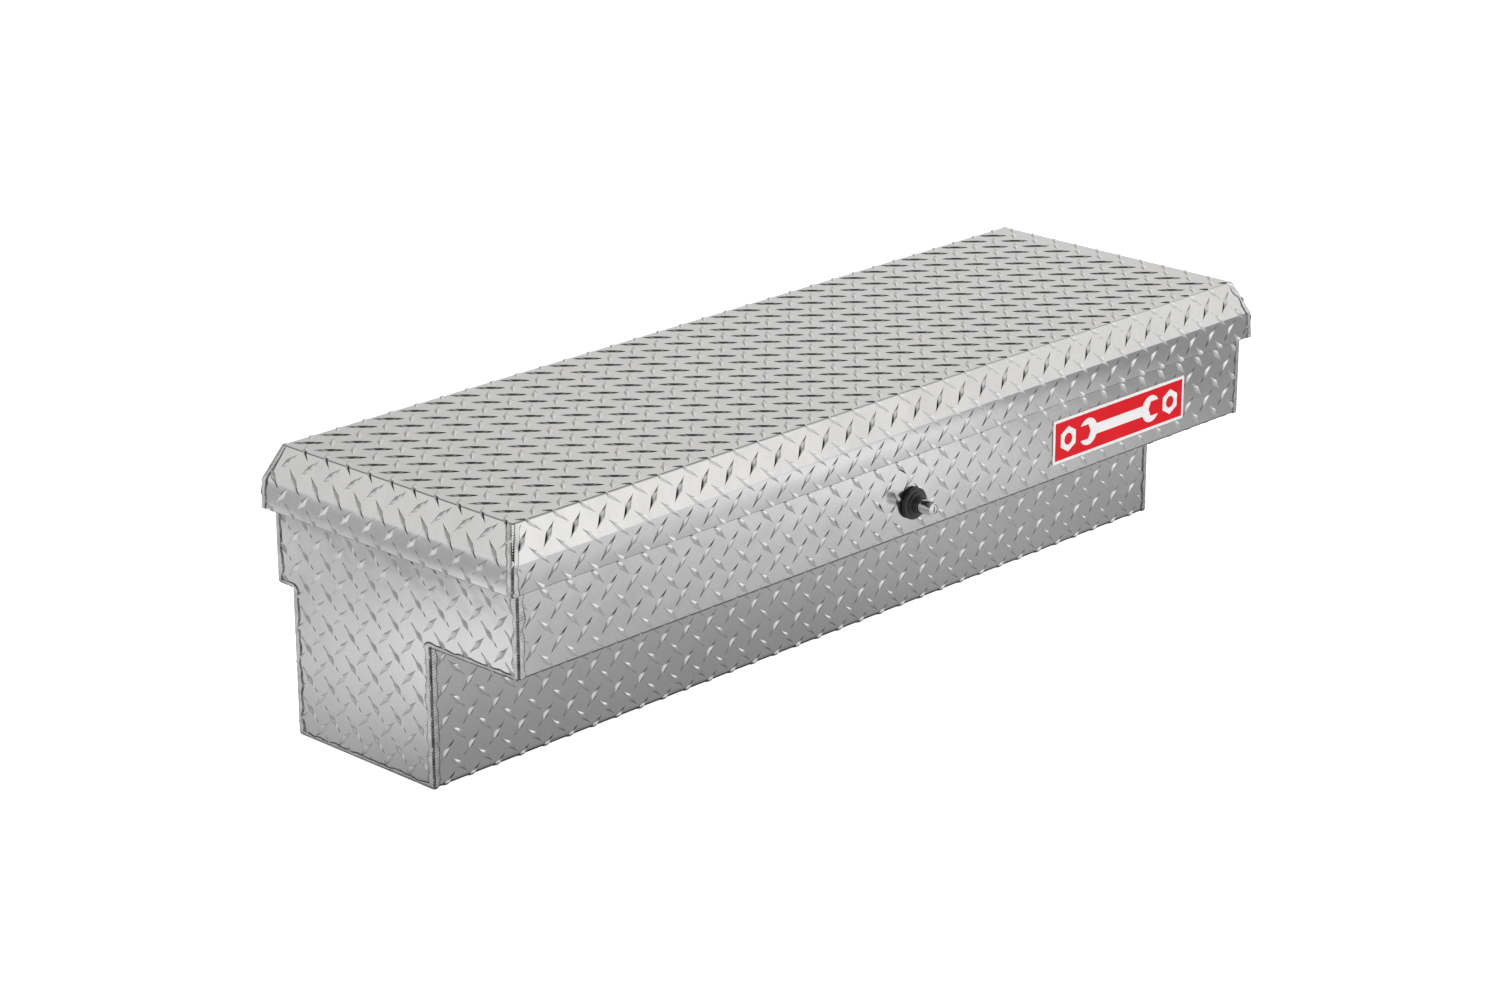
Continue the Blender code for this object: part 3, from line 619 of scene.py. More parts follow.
def wrap_distance(corner):
    """Distance along the wrap at the middle of the bend at an outline corner, counted from 1."""
    bends = [p for p in WRAP_PATH.pieces if p[4]]
    start, length = bends[corner - 1][:2]
    return start + length / 2


def body_wrap():
    """The folded body sheet with its lock hole and raised pattern."""
    mesh = Mesh()
    rows = WRAP_PATH.stations()
    outer, inner = [], []
    for s in rows:
        point, normal = WRAP_PATH.at(s)
        outer.append(point)
        inner.append(point - normal * SHEET)
    n = len(rows)
    bends = [(start - 1e-6, start + length - 1e-6) for start, length, _, _, bend in WRAP_PATH.pieces if bend]
    shaded_bends = bends[1], bends[3]  # the lower edge of the upper front wall and of the lower one, given the dark metal as painted shade
    verts = [(x, *p) for x in (-WRAP_HALF, WRAP_HALF) for line in (outer, inner) for p in line]
    for i in range(n - 1):
        a, b, c, d = i, n + i, 2 * n + i, 3 * n + i
        mesh.faces += [(a, a + 1, c + 1, c), (b, d, d + 1, b + 1), (a, b, b + 1, a + 1), (c, c + 1, d + 1, d)]
        mesh.kinds += [2 if any(low <= rows[i] < high for low, high in shaded_bends) else 0, 1, 0, 0]
    mesh.faces += [(0, 2 * n, 3 * n, n), (n - 1, 2 * n - 1, 4 * n - 1, 3 * n - 1)]
    mesh.kinds += [0, 0]
    mesh.verts += verts
    sheet = mesh.make("body_tread_wrap", TREAD, INSIDE, EDGE_SHADE)
    hole = Mesh()
    profile = [(0, -HOLE_DEPTH), (HOLE_RADIUS, -HOLE_DEPTH), (HOLE_RADIUS, HOLE_DEPTH), (0, HOLE_DEPTH)]
    hole.rings(turned(profile, 64, (0, Y_FRONT, LOCK_Z)), closed=True)
    cutter = hole.make("lock_hole", TREAD)
    rework(cutter.data, 1e-6)
    cut(sheet, cutter)

    lugs = Mesh()
    badge_low, badge_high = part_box("badge_plate")
    skirt_s = wrap_distance(1) + RIM_Z - LID_LOW.z
    leaf_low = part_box("body_hinge_leaf")[0].z
    hinge_s = WRAP_PATH.length - RIM_FLANGE - (RIM_Z - leaf_low)
    edges = [((WRAP_HALF, 0), (1, 0)), ((-WRAP_HALF, 0), (-1, 0)), ((0, 0), (0, -1))]
    edges.append(((0, hinge_s - 0.5 * MM), (0, 1)))

    def on_sheet(u, s, h):
        point, normal = WRAP_PATH.at(s)
        return (u, *(point + normal * h))

    def behind_badge(x, z):
        return all(
            low + BADGE_MARGIN < at < high - BADGE_MARGIN
            for low, at, high in ((badge_low.x, x, badge_high.x), (badge_low.z, z, badge_high.z))
        )

    across, down = (-WRAP_HALF - REACH, WRAP_HALF + REACH), (-REACH, hinge_s + REACH)
    for x, s, which in lattice(BODY_FIRST_X, skirt_s + BODY_FIRST_BELOW, *BODY_PITCH, across, down):
        z = LID_LOW.z - (s - skirt_s)
        if s < wrap_distance(2) and (math.hypot(x, z - LOCK_Z) < LOCK_CLEARANCE or behind_badge(x, z)):
            continue
        slip = min(1, max(0, (s - wrap_distance(2)) / (wrap_distance(3) - wrap_distance(2))))
        x, s = x - SHELF_SLIP[0] * slip, s - SHELF_SLIP[1] * slip
        # s runs down the front wall, so a lug that rises to the right has a negative angle
        add_lug(lugs, (x, s), -DOWN_RIGHT if which else -UP_RIGHT, on_sheet, edges)
    raised = lugs.make("lugs", TREAD)
    join(sheet, raised)
    place(sheet, "box", "tread_aluminium", "body_wrap")


def join(thing, other):
    """Joins other's mesh into thing, keeping thing's materials by number."""
    work = bmesh.new()
    work.from_mesh(thing.data)
    work.from_mesh(other.data)
    work.to_mesh(thing.data)
    work.free()
    bpy.data.objects.remove(other)
    shade(thing.data, SMOOTH_ANGLE)


END_CENTRE = (0.0507, 0.2083)  # one lug of the end plates' pattern, (y, z)
END_SHEAR = (-0.014, 0.033)  # how far its columns and rows lean
END_PITCH = 35.9 * MM, 35.2 * MM
END_RANGE = (-0.4, 0.4), (-0.3, 0.3)  # wide enough for the whole plate
RIM_START = SHELF_Z + 5 * MM  # where the rim's path is measured from
RIM_TURN = 3.2 * MM  # how far below the rim its bend starts
RIM_CORNER = 0.2 * MM  # how far the plate's corners stay below the rim


def end_panel(name, side):
    """Flat T-shaped end plate with its rim turned inward."""
    outer_x = side * PANEL_X
    inner_x = outer_x - side * SHEET
    rim_path = FoldedPath([(0, RIM_START), (0, RIM_Z), (-RIM_FLANGE, RIM_Z)], -1, convex=3 * MM)
    mesh = Mesh()
    flange = (Y_FRONT + RIM_FLANGE + GAP, Y_BACK - RIM_FLANGE - GAP)
    top_z = RIM_Z - RIM_TURN
    outline = [*WRAP_OUTLINE[2:8], (Y_BACK, top_z), (flange[1], top_z), (flange[0], top_z), (Y_FRONT, top_z)]
    n = len(outline)
    verts = [(x, y, z) for x in (outer_x, inner_x) for y, z in outline]
    faces = [tuple(range(n)), tuple(range(n, 2 * n))[::-1]]
    faces += [(i, (i + 1) % n, n + (i + 1) % n, n + i) for i in range(n) if i != n - 3]
    # the flange, bent inward from the plate's top edge between the wrap's flanges
    rows = [s for s in rim_path.stations() if rim_path.at(s)[0].y > top_z - 1e-6]
    rows = [top_z - RIM_START] + rows
    strips = []
    for s in rows:
        point, normal = rim_path.at(s)
        low = point - normal * SHEET
        strips.append([(outer_x + side * p.x, y, p.y) for y in flange for p in (point, low)])
    start = len(verts)
    for strip in strips[1:]:
        verts += strip
    previous = (n - 2, 2 * n - 2, n - 3, 2 * n - 3)  # outer and inner at flange[0], then at flange[1]
    for k in range(1, len(strips)):
        here = tuple(start + 4 * (k - 1) + i for i in range(4))
        a, b, c, d = previous
        e, f, g, h = here
        faces += [(a, c, g, e), (b, f, h, d), (a, e, f, b), (c, d, h, g)]
        previous = here
    e, f, g, h = previous
    faces.append((e, g, h, f))
    mesh.add(verts, faces)
    # the panel's two upper corners rise beside the wrap's own flanges
    low_z, high_z = top_z - GAP, RIM_Z - RIM_CORNER
    for low_y, high_y in ((Y_FRONT, flange[0]), (flange[1], Y_BACK)):
        square = ((low_y, low_z), (high_y, low_z), (high_y, high_z), (low_y, high_z))
        corner = [(x, y, z) for x in (outer_x, inner_x) for y, z in square]
        mesh.add(corner, [(0, 1, 2, 3), (7, 6, 5, 4), (0, 4, 5, 1), (1, 5, 6, 2), (2, 6, 7, 3), (3, 7, 4, 0)])
    for face in range(len(mesh.faces)):
        if all(abs(mesh.verts[i][0] - inner_x) < 1e-6 for i in mesh.faces[face]):
            mesh.kinds[face] = 1

    def on_panel(u, s, h):
        return outer_x + side * h, u, s

    sides = [((Y_FRONT, 0), (-1, 0)), ((Y_BACK, 0), (1, 0)), ((0, top_z), (0, 1))]
    for u, v, which in lattice(0, 0, *END_PITCH, *END_RANGE):
        y, z = END_CENTRE[0] + u + END_SHEAR[0] * v, END_CENTRE[1] + v + END_SHEAR[1] * u
        limits = list(sides)
        in_lower = Y_LOW_FRONT - REACH < y < Y_LOW_BACK + REACH
        if z > max(SHELF_Z, LEDGE_Z):
            if not Y_LOW_FRONT + REACH * 0.7 < y < Y_LOW_BACK - REACH * 0.7:
                limits.append(((0, SHELF_Z if y < 0 else LEDGE_Z), (0, -1)))
        elif in_lower:
            limits = [((Y_LOW_FRONT, 0), (-1, 0)), ((Y_LOW_BACK, 0), (1, 0)), ((0, 0), (0, -1))]
        else:
            limits.append(((0, SHELF_Z if y < 0 else LEDGE_Z), (0, -1)))
        angle = DOWN_RIGHT if which else UP_RIGHT
        add_lug(mesh, (y, z), angle, on_panel, limits)
    thing = mesh.make(name.replace("panel", "tread_plate"), TREAD, INSIDE)
    place(thing, "box", "tread_aluminium", name)


# Weld beads
BEAD_STEP = 0.6 * MM
BEAD_RISE = 1.25 * MM
RIPPLE = 0.34  # height of a ripple, as a share of the rise
BEAD_LEG = 9.0 * MM  # how far it reaches over each face
LEVEL_LEG_LOSS = 4.0 * MM  # how much narrower it is along a level corner
LID_BEAD_PITCH = 2.9 * MM
BEAD_DEPTH = 1.2 * MM  # how far its middle goes into the corner
BEAD_FLAT = ((1.0, -0.2, 0.0), (0.90, 0.35, 0.4), (0.72, 0.95, 0.8), (0.52, 1.05, 1.0))
BEAD_ROUND = [math.radians(a) for a in (0, 22.5, 45)]
BEAD_DARK = (0, 1, 5, 6, 10, 11)  # faces of a ring at the toes and the core


def bead_section(leg, rise):
    """Half of a bead's section, toe to middle: (way over its face, way over the other, lift, ripple).

    Negative ways lie outside the faces. The round part passes just outside the corner.
    """
    half = [(share * leg, -height * rise, (0, -1), ripple) for share, height, ripple in BEAD_FLAT]
    for a in BEAD_ROUND:
        s, c = math.sin(a), math.cos(a)
        half.append((rise * (2 - 3 * s), rise * (2 - 3 * c), (-s, -c), 1.0))
    return half


def bead(mesh, frames, seed, pitch=3.3 * MM):
    """Sweeps a rippled weld bead over a corner.

    Each frame is (distance, corner, way over face A, way over face B, reach over each face).
    """
    wander = random.Random(seed)
    waves = [(wander.uniform(40, 420), wander.uniform(0, 6.28), wander.uniform(0.02, 0.06)) for _ in range(6)]
    rings = []
    for s, corner, way_a, way_b, leg in frames:
        drift = sum(a * math.sin(s * f + p) for f, p, a in waves)
        lean = sum(a * math.cos(s * f * 0.7 + p) for f, p, a in waves)
        ring = []
        for near, far, side in ((way_a, way_b, 1), (way_b, way_a, -1)):
            half = bead_section(leg * (1 + drift + side * lean), BEAD_RISE * (1 + 0.4 * drift))
            line = []
            for i, (a, b, (na, nb), weight) in enumerate(half):
                turn = s / pitch + 0.03 * (len(half) - i) ** 2
                lift = BEAD_RISE * RIPPLE * weight * (0.5 + 0.5 * math.sin(2 * math.pi * turn)) ** 1.5
                line.append(corner + near * (a + na * lift) + far * (b + nb * lift))
            ring += line if side > 0 else line[-2::-1]
        ring.append(corner + (way_a + way_b) * BEAD_DEPTH)
        rings.append(ring)
    first, count = len(mesh.faces), len(rings[0])
    mesh.rings(rings)
    for i in range((len(rings) - 1) * count):
        if i % count in BEAD_DARK:
            mesh.kinds[first + i] = 1


def end_weld(name, side):
    """Bead round the end plate's edge, over the corner it makes with the wrap."""
    mesh = Mesh()
    start = wrap_distance(1) + RIM_Z - LID_LOW.z - 8 * MM  # a little way up behind the lid's skirt
    stop = WRAP_PATH.length - start
    frames = []
    count = int((stop - start) / BEAD_STEP)
    for i in range(count + 1):
        s = start + (stop - start) * i / count
        point, normal = WRAP_PATH.at(s)
        normal = Vector((0, *normal))
        corner = Vector((side * PANEL_X, *point))
        frames.append((s, corner, Vector((-side, 0, 0)), -normal, BEAD_LEG - LEVEL_LEG_LOSS * abs(normal.z)))
    bead(mesh, frames, seed=11 + side)
    thing = mesh.make(name, WELD, WELD_CORE, angle=60)
    place(thing, "box", "plain_aluminium")


def lid_weld(name, side_x, side_y):
    """Bead down one corner of the lid, from the top over the band to the skirt's edge."""
    inset_y = INSET_FRONT if side_y < 0 else INSET_BACK
    top_y = TOP_FRONT if side_y < 0 else TOP_BACK
    lean_y = LEAN if side_y < 0 else 0
    down = [
        Vector((side_x * (TOP_X - 1 * MM), top_y - side_y * 1 * MM, TOP_Z - 0.2 * MM)),
        Vector((side_x * (TOP_X + INSET_END - LEAN_END), top_y + side_y * (inset_y - lean_y), BAND_Z)),
        Vector((side_x * (TOP_X + INSET_END), top_y + side_y * inset_y, LID_LOW.z + 0.3 * MM)),
    ]
    tilt_x = math.atan2(INSET_END, TOP_Z - BAND_Z)
    tilt_y = math.atan2(inset_y, TOP_Z - BAND_Z)
    length = [(down[1] - down[0]).length, (down[2] - down[1]).length]
    total = sum(length)
    frames = []
    count = int(total / BEAD_STEP)
    for i in range(count + 1):
        s = total * i / count
        if s < length[0]:
            corner = down[0].lerp(down[1], s / length[0])
        else:
            corner = down[1].lerp(down[2], (s - length[0]) / length[1])
        upright = min(1, max(0, (s - length[0]) / (4 * MM) + 0.5))
        upright = upright * upright * (3 - 2 * upright)
        ax, ay = tilt_x * (1 - upright), tilt_y * (1 - upright)
        normal_end = Vector((side_x * math.cos(ax), 0, math.sin(ax)))
        normal_side = Vector((0, side_y * math.cos(ay), math.sin(ay)))
        along = normal_side.cross(normal_end).normalized()
        over_side = along.cross(normal_side)
        over_end = along.cross(normal_end)
        if over_side.x * side_x > 0:
            over_side = -over_side
        if over_end.y * side_y > 0:
            over_end = -over_end
        frames.append((s, corner, over_side, over_end, BEAD_LEG))
    mesh = Mesh()
    bead(mesh, frames, seed=31 + 2 * side_x + side_y, pitch=LID_BEAD_PITCH)
    thing = mesh.make(name, WELD, WELD_CORE, angle=60)
    place(thing, "lid", "plain_aluminium")


# Seal
def weather_seal():
    """Bulb strip round the rim: a flat foot and a soft round top."""
    low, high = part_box("weather_seal")
    foot, shoulder, base = 5 * MM, 4.1 * MM, 2.1 * MM
    radius = (high.z - low.z - base) / 2
    section = [(-foot, 0), (foot, 0), (foot, 1.6 * MM), (shoulder, base)]
    for i in range(1, 14):
        a = -math.pi / 3.2 + (math.pi + 2 * math.pi / 3.2) * i / 14
        section.append((radius * 0.93 * math.cos(a), base + radius + radius * math.sin(a)))
    section += [(-shoulder, base), (-foot, 1.6 * MM)]
    half_x, y_low, y_high = high.x - foot, low.y + foot, high.y - foot
    round_off = 9 * MM
    path = []
    for cx, cy, start in (
        (half_x - round_off, y_low + round_off, -90),
        (half_x - round_off, y_high - round_off, 0),
        (-half_x + round_off, y_high - round_off, 90),
        (-half_x + round_off, y_low + round_off, 180),
    ):
        for i in range(9):
            a = math.radians(start + 90 * i / 8)
            way = Vector((math.cos(a), math.sin(a), 0))
            path.append((Vector((cx, cy, low.z)) + way * round_off, way))
    mesh = Mesh()
    mesh.rings([[p + way * u + Vector((0, 0, v)) for u, v in section] for p, way in path], closed=True)
    place(mesh.make("bulb_seal", RUBBER, angle=50), "box", "seal_rubber", "weather_seal")


# Badge
def rounded_rectangle(low, high, radius, steps=6):
    """Outline of a rectangle with round corners, from two opposite corners."""
    points = []
    for cx, cz, start in (
        (high[0] - radius, high[1] - radius, 0),
        (low[0] + radius, high[1] - radius, 90),
        (low[0] + radius, low[1] + radius, 180),
        (high[0] - radius, low[1] + radius, 270),
    ):
        for i in range(steps + 1):
            a = math.radians(start + 90 * i / steps)
            points.append((cx + radius * math.cos(a), cz + radius * math.sin(a)))
    return points


def slab(mesh, outline, y_back, y_front, soften=0.0):
    """A plate on the front wall from an outline in (x, z), with a softened front edge."""
    centre = [sum(p[i] for p in outline) / len(outline) for i in (0, 1)]
    rings = [[(x, y_back, z) for x, z in outline], [(x, y_front + soften, z) for x, z in outline]]
    if soften:
        half = [max(abs(p[i] - centre[i]) for p in outline) for i in (0, 1)]
        scale = [1 - soften / h for h in half]
        rings.append([
            (centre[0] + (x - centre[0]) * scale[0], y_front, centre[1] + (z - centre[1]) * scale[1])
            for x, z in outline
        ])
    mesh.rings(rings)


def spanner(cx, cz, length, head, shaft):
    """Outline of a double open-ended spanner lying along X."""
    points = []
    gape, throat = math.radians(33), 0.42
    for way in (1, -1):
        start = math.asin(shaft / head)
        arc = []
        for i in range(13):
            a = math.pi - start - (math.pi - start - gape) * i / 12
            arc.append((math.cos(a) * head / 2, math.sin(a) * head / 2))
        jaw = head / 2 * math.sin(gape)
        depth = head / 2 * math.cos(gape)
        notch = [(depth, jaw), (depth - head * throat, jaw), (depth - head * (throat + 0.13), 0)]
        upper = arc[:-1] + notch
        lower = [(x, -z) for x, z in upper[::-1][1:]]
        points += [(cx + way * (length / 2 - head / 2 + x), cz + way * z) for x, z in upper + lower]
    return points


def circle(cx, cz, radius, count):
    """Points round a circle, from 30 degrees on."""
    angles = [math.radians(30 + 360 * i / count) for i in range(count)]
    return [Vector((cx + radius * math.cos(a), cz + radius * math.sin(a))) for a in angles]


def nut(mesh, cx, cz, across, hole, back, front):
    """A flat hexagon with a round hole, facing the front."""
    corners = circle(cx, cz, across / math.sqrt(3), 6)
    outer = [corners[i // 6].lerp(corners[(i // 6 + 1) % 6], i % 6 / 6) for i in range(36)]
    mesh.rings([
        [(out.x, back, out.y), (out.x, front, out.y), (into.x, front, into.y), (into.x, back, into.y)]
        for out, into in zip(outer, circle(cx, cz, hole, 36))
    ], closed=True)


def badge():
    """White plate with a red field, and a white spanner between two nuts on it."""
    low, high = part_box("badge_plate")
    plate, field, motif = Mesh(), Mesh(), Mesh()
    outline = rounded_rectangle((low.x, low.z), (high.x, high.z), 1.2 * MM)
    slab(plate, outline, high.y, low.y + 0.25 * MM, 0.15 * MM)
    place(plate.make("badge_border", WHITE), "box", "badge_red", "badge_plate")
    rim = 3.6 * MM
    outline = rounded_rectangle((low.x + rim, low.z + rim), (high.x - rim, high.z - rim), 0.8 * MM)
    slab(field, outline, low.y + 0.6 * MM, low.y + 0.10 * MM, 0.08 * MM)
    place(field.make("badge_field", RED), "box", "badge_red")
    cx, cz, back = (low.x + high.x) / 2, (low.z + high.z) / 2, low.y + 0.5 * MM
    slab(motif, spanner(cx, cz, 150 * MM, 33 * MM, 13 * MM), back, low.y)
    for way in (-1, 1):
        nut(motif, cx + way * 95 * MM, cz, 27 * MM, 7.2 * MM, back, low.y)
    place(motif.make("badge_motif", WHITE), "box", "badge_red")


# Lock
def in_mm(*pairs, end=0.0):
    """A profile in metres from (radius, height) pairs in millimetres, measured from end."""
    return [(radius * MM, end + height * MM) for radius, height in pairs]


def lock():
    """Housing, gasket, push button and key plug; heights run outward from the front wall."""
    on_wall = (0, Y_FRONT, LOCK_Z)
    housing = in_mm(
        (8.3, 14.9), (8.8, 15.5), (9.6, 15.5), (10.25, 15.2), (10.5, 14.5), (10.5, 9.5), (10.9, 9.05),
        (12.8, 8.9), (13.7, 8.5), (14, 7.8), (14, 6.9), (14.4, 6.5), (16.6, 6.3), (18, 5.7), (18.5, 4.6),
        (18.5, 1.8), (18.3, 1.6), (11, 1.6), (11, -21.2), (10.6, -21.5), (8.3, -21.5),
    )
    gasket = in_mm((11.3, 0.3), (17.7, 0.3), (17.9, 0.6), (17.9, 1.1), (17.7, 1.3), (11.3, 1.3))
    low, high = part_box("lock_plunger")
    out, tip = Y_FRONT - low.y, Y_FRONT - high.y
    button = in_mm((0, -18.3), (5.8, -18.3), (5.8, -0.4), (6.2, 0), (7, 0), (7.7, -0.25), (8, -0.9), end=out)
    button += in_mm((8, -9.7), (7.7, -10), (4.3, -13), (4, -13.5))
    for i in range(8):
        a = i * math.pi / 16
        button += in_mm((4 * math.cos(a), 4 * (1 - math.sin(a))), end=tip)
    button.append((0, tip))
    for name, profile, material, body, slot, node in (
        ("lock_body", housing, BLACK, "box", "black_coated_metal", "lock_housing"),
        ("lock_seal_ring", gasket, RUBBER, "box", "seal_rubber", "lock_gasket"),
        ("lock_button", button, CHROME, "lock_plunger", "chrome_plate", "lock_plunger"),
    ):
        place(lathe(name, profile, material, on_wall, steps=96), body, slot, node)
    face_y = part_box("key_plug")[0].y
    plug = in_mm(
        (0, 0), (4.9, 0), (5.3, -0.15), (5.5, -0.5), (5.5, -17.3), (5.2, -17.6), (0, -17.6),
        end=Y_FRONT - face_y,
    )
    key_barrel = lathe("key_barrel", plug, CHROME, on_wall, steps=64)
    cutter = Mesh()
    slot = rounded_rectangle((-0.9 * MM, LOCK_Z - 3.6 * MM), (0.9 * MM, LOCK_Z + 3.6 * MM), 0.5 * MM, 3)
    cutter.rings([[(x, y, z) for x, z in slot] for y in (face_y - 5 * MM, face_y + 8 * MM)])
    cut(key_barrel, cutter.make("key_way", BLACK))
    shade(key_barrel.data, 35)
    place(key_barrel, "key_plug", "stainless_steel", "key_plug")


# Hinge
def hinge_leaf(name, node, parity, body):
    """A leaf with softened edges and every other rolled knuckle."""
    low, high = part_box(node)
    half, knuckles, leaf = (high.x - low.x) / 2, 22, 1.2 * MM
    pitch = 2 * half / knuckles
    end_gap, bore, rolled, soft = 0.25 * MM, 1.8 * MM, 3.5 * MM, 0.25 * MM
    y_low = low.y
    if parity:
        if y_low >= HINGE_Y - 3.6 * MM:
            y_low = HINGE_Y - rolled
        z_near, z_far, tab = HINGE_Z + 4.5 * MM, high.z, HINGE_Z + 2.4 * MM
    else:
        z_near, z_far, tab = HINGE_Z - 4.5 * MM, low.z, HINGE_Z - 1.2 * MM
    mesh = Mesh()
    z_low, z_high = sorted((z_near, z_far))
    section = rounded_rectangle((y_low, z_low), (y_low + leaf, z_high), soft, 3)
    mesh.rings([[(x, y, z) for y, z in section] for x in (-half, half)])
    near_y, far_y = y_low + 0.05 * MM, y_low + leaf - 0.05 * MM
    z_low, z_high = sorted((tab, (z_near + z_far) / 2))
    tongue = [(near_y, z_low), (far_y, z_low), (far_y, z_high), (near_y, z_high)]
    for i in range(parity, knuckles, 2):
        a = -half + i * pitch + end_gap
        width = pitch - 2 * end_gap
        mesh.rings([[(x, y, z) for y, z in tongue] for x in (a, a + width)])
        lip = [(bore, 0.15 * MM), (2.0 * MM, 0), (3.25 * MM, 0), (rolled, 0.3 * MM)]
        barrel = lip + [(radius, width - height) for radius, height in lip[::-1]]
        mesh.rings(turned(barrel, 28, (a, HINGE_Y, HINGE_Z), "X", 1), closed=True)
    place(mesh.make(name, STAINLESS), body, "stainless_steel", node)


def rivets():
    """Domed heads with a pin dimple, and the set tails inside."""
    for i in range(1, 7):
        for word in ("body", "lid"):
            node = f"{word}_hinge_rivet_{i}"
            low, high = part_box(node)
            centre = ((low.x + high.x) / 2, high.y, (low.z + high.z) / 2)
            tail, head, rise = low.y - high.y, (high.x - low.x) / 2, 1.4 * MM
            profile = in_mm((0, -0.35), (0.8, -0.35), (0.95, -0.05))
            for degrees in (24, 38, 52, 66, 80, 90):
                a = math.radians(degrees)
                profile.append((head * math.sin(a), -rise * (1 - math.cos(a)) ** 1.1))
            profile += [(head, -rise - 0.02 * MM), (2 * MM, -rise - 0.02 * MM)]
            profile += in_mm((2, 1.6), (3.2, 1.5), (3, 0.5), (2, 0), (0, 0), end=tail)
            thing = lathe(f"{word}_rivet_{i}", profile, ZINC, centre, "Y", 1, steps=28)
            place(thing, "box" if word == "body" else "lid", "zinc_steel", node)


# Small folded and machined parts
def softened(node, material, body, slot, width, segments=2):
    """A copy of a CAD node with clean faces and softened edges."""
    data = NODES[node].data.copy()
    rework(data, 2e-6, lambda work: bmesh.ops.dissolve_limit(
        work, angle_limit=math.radians(1.0), verts=work.verts, edges=work.edges, use_dissolve_boundaries=False
    ))
    data.materials.clear()
    data.materials.append(material)
    thing = add_object(node + "_finished", data)
    bevel = thing.modifiers.new("edges", "BEVEL")
    bevel.width, bevel.segments, bevel.limit_method = width, segments, "ANGLE"
    bevel.angle_limit = math.radians(32)
    settle(thing)
    shade(thing.data, 38)
    place(thing, body, slot, node)


def fittings():
    """Channels, latch, striker and gas struts."""
    for word in ("front", "back", "left", "right"):
        softened(f"lid_channel_{word}", PLAIN, "lid", "plain_aluminium", 0.35 * MM)
    softened("latch_bracket", PLAIN, "box", "plain_aluminium", 0.35 * MM)
    for node, body, width in (
        ("latch_hook", "latch_hook", 0.4 * MM),
        ("lock_nut", "box", 0.4 * MM),
        ("striker", "lid", 0.25 * MM),
        ("striker_rivet_1", "lid", 0.2 * MM),
        ("striker_rivet_2", "lid", 0.2 * MM),
        ("hook_pivot_pin", "box", 0.3 * MM),
    ):
        softened(node, ZINC, body, "zinc_steel", width)
    for word in ("left", "right"):
        softened(f"{word}_strut_body_bracket", ZINC, "box", "zinc_steel", 0.3 * MM)
        softened(f"{word}_strut_lid_bracket", ZINC, "lid", "zinc_steel", 0.3 * MM)
        softened(f"{word}_strut_tube", BLACK, f"{word}_strut_tube", "black_coated_metal", 0.5 * MM, 3)
        softened(f"{word}_strut_rod", CHROME, f"{word}_strut_rod", "stainless_steel", 0.3 * MM)
    for node in ("hinge_pin", "latch_spring"):
        data = NODES[node].data
        data.materials.clear()
        data.materials.append(STAINLESS)


# Stage
def direction(azimuth, elevation):
    """Unit vector; azimuth is measured from +X towards +Y."""
    a, e = math.radians(azimuth), math.radians(elevation)
    return (math.cos(a) * math.cos(e), math.sin(a) * math.cos(e), math.sin(e))


def lobe(nodes, way, azimuth, elevation, inner, outer, amount):
    """A soft round patch of light or dark; inner and outer are degrees from its middle."""
    dot = nodes.add(
        "ShaderNodeVectorMath", {0: way, 1: direction(azimuth, elevation)}, operation="DOT_PRODUCT"
    ).outputs["Value"]
    low, high = math.cos(math.radians(outer)), math.cos(math.radians(inner))
    return nodes.ramp(dot, low, high, 0.0, amount, interpolation_type="SMOOTHSTEP")


FAINTEST = 0.02  # no part of the studio is darker than this
SKY = (  # (height of the direction, strength)
    (-1.0, 0.8), (-0.02, 0.85), (0.0, 0.95), (0.37, 1.03), (0.50, 0.80),
    (0.62, 0.60), (0.74, 0.55), (0.84, 0.50), (1.0, 0.50),
)
SKY_LOBES = (  # (azimuth, elevation, inner, outer, amount)
    (0, 0, 16, 50, 0.36),
    (-60, 15, 6, 20, 0.40),
    (-66, 44, 5, 26, 0.40),
    (170, 4, 10, 26, -0.42),
    (-114, 34, 25, 40, -0.64),
    (-136, 72, 10, 27, -0.38),
    (30, 62, 13, 25, -0.42),
    (88, 10, 10, 49, -0.56),
    (130, 20, 5, 20, 0.16),
    (24, 12, 5, 25, -0.28),
    (150, 16, 5, 50, -0.10),
)
# painted pools of light (positive amount) and shade (negative amount) in the floor's glow
FLOOR_POOLS = (  # (x, y, inner radius, outer radius, amount)
    (-0.93, 0.10, 0.04, 0.40, 0.36),
    (-0.72, 0.15, 0.08, 0.38, 0.16),
    (-0.15, -0.60, 0.0, 0.35, -0.12),
    (0.38, -0.20, 0.0, 0.45, 0.11),
    (1.45, -0.76, 0.35, 0.85, -0.50),
    (0.50, -0.85, 0.0, 0.36, 0.38),
    (-1.15, -0.80, 0.30, 0.85, -0.42),
)


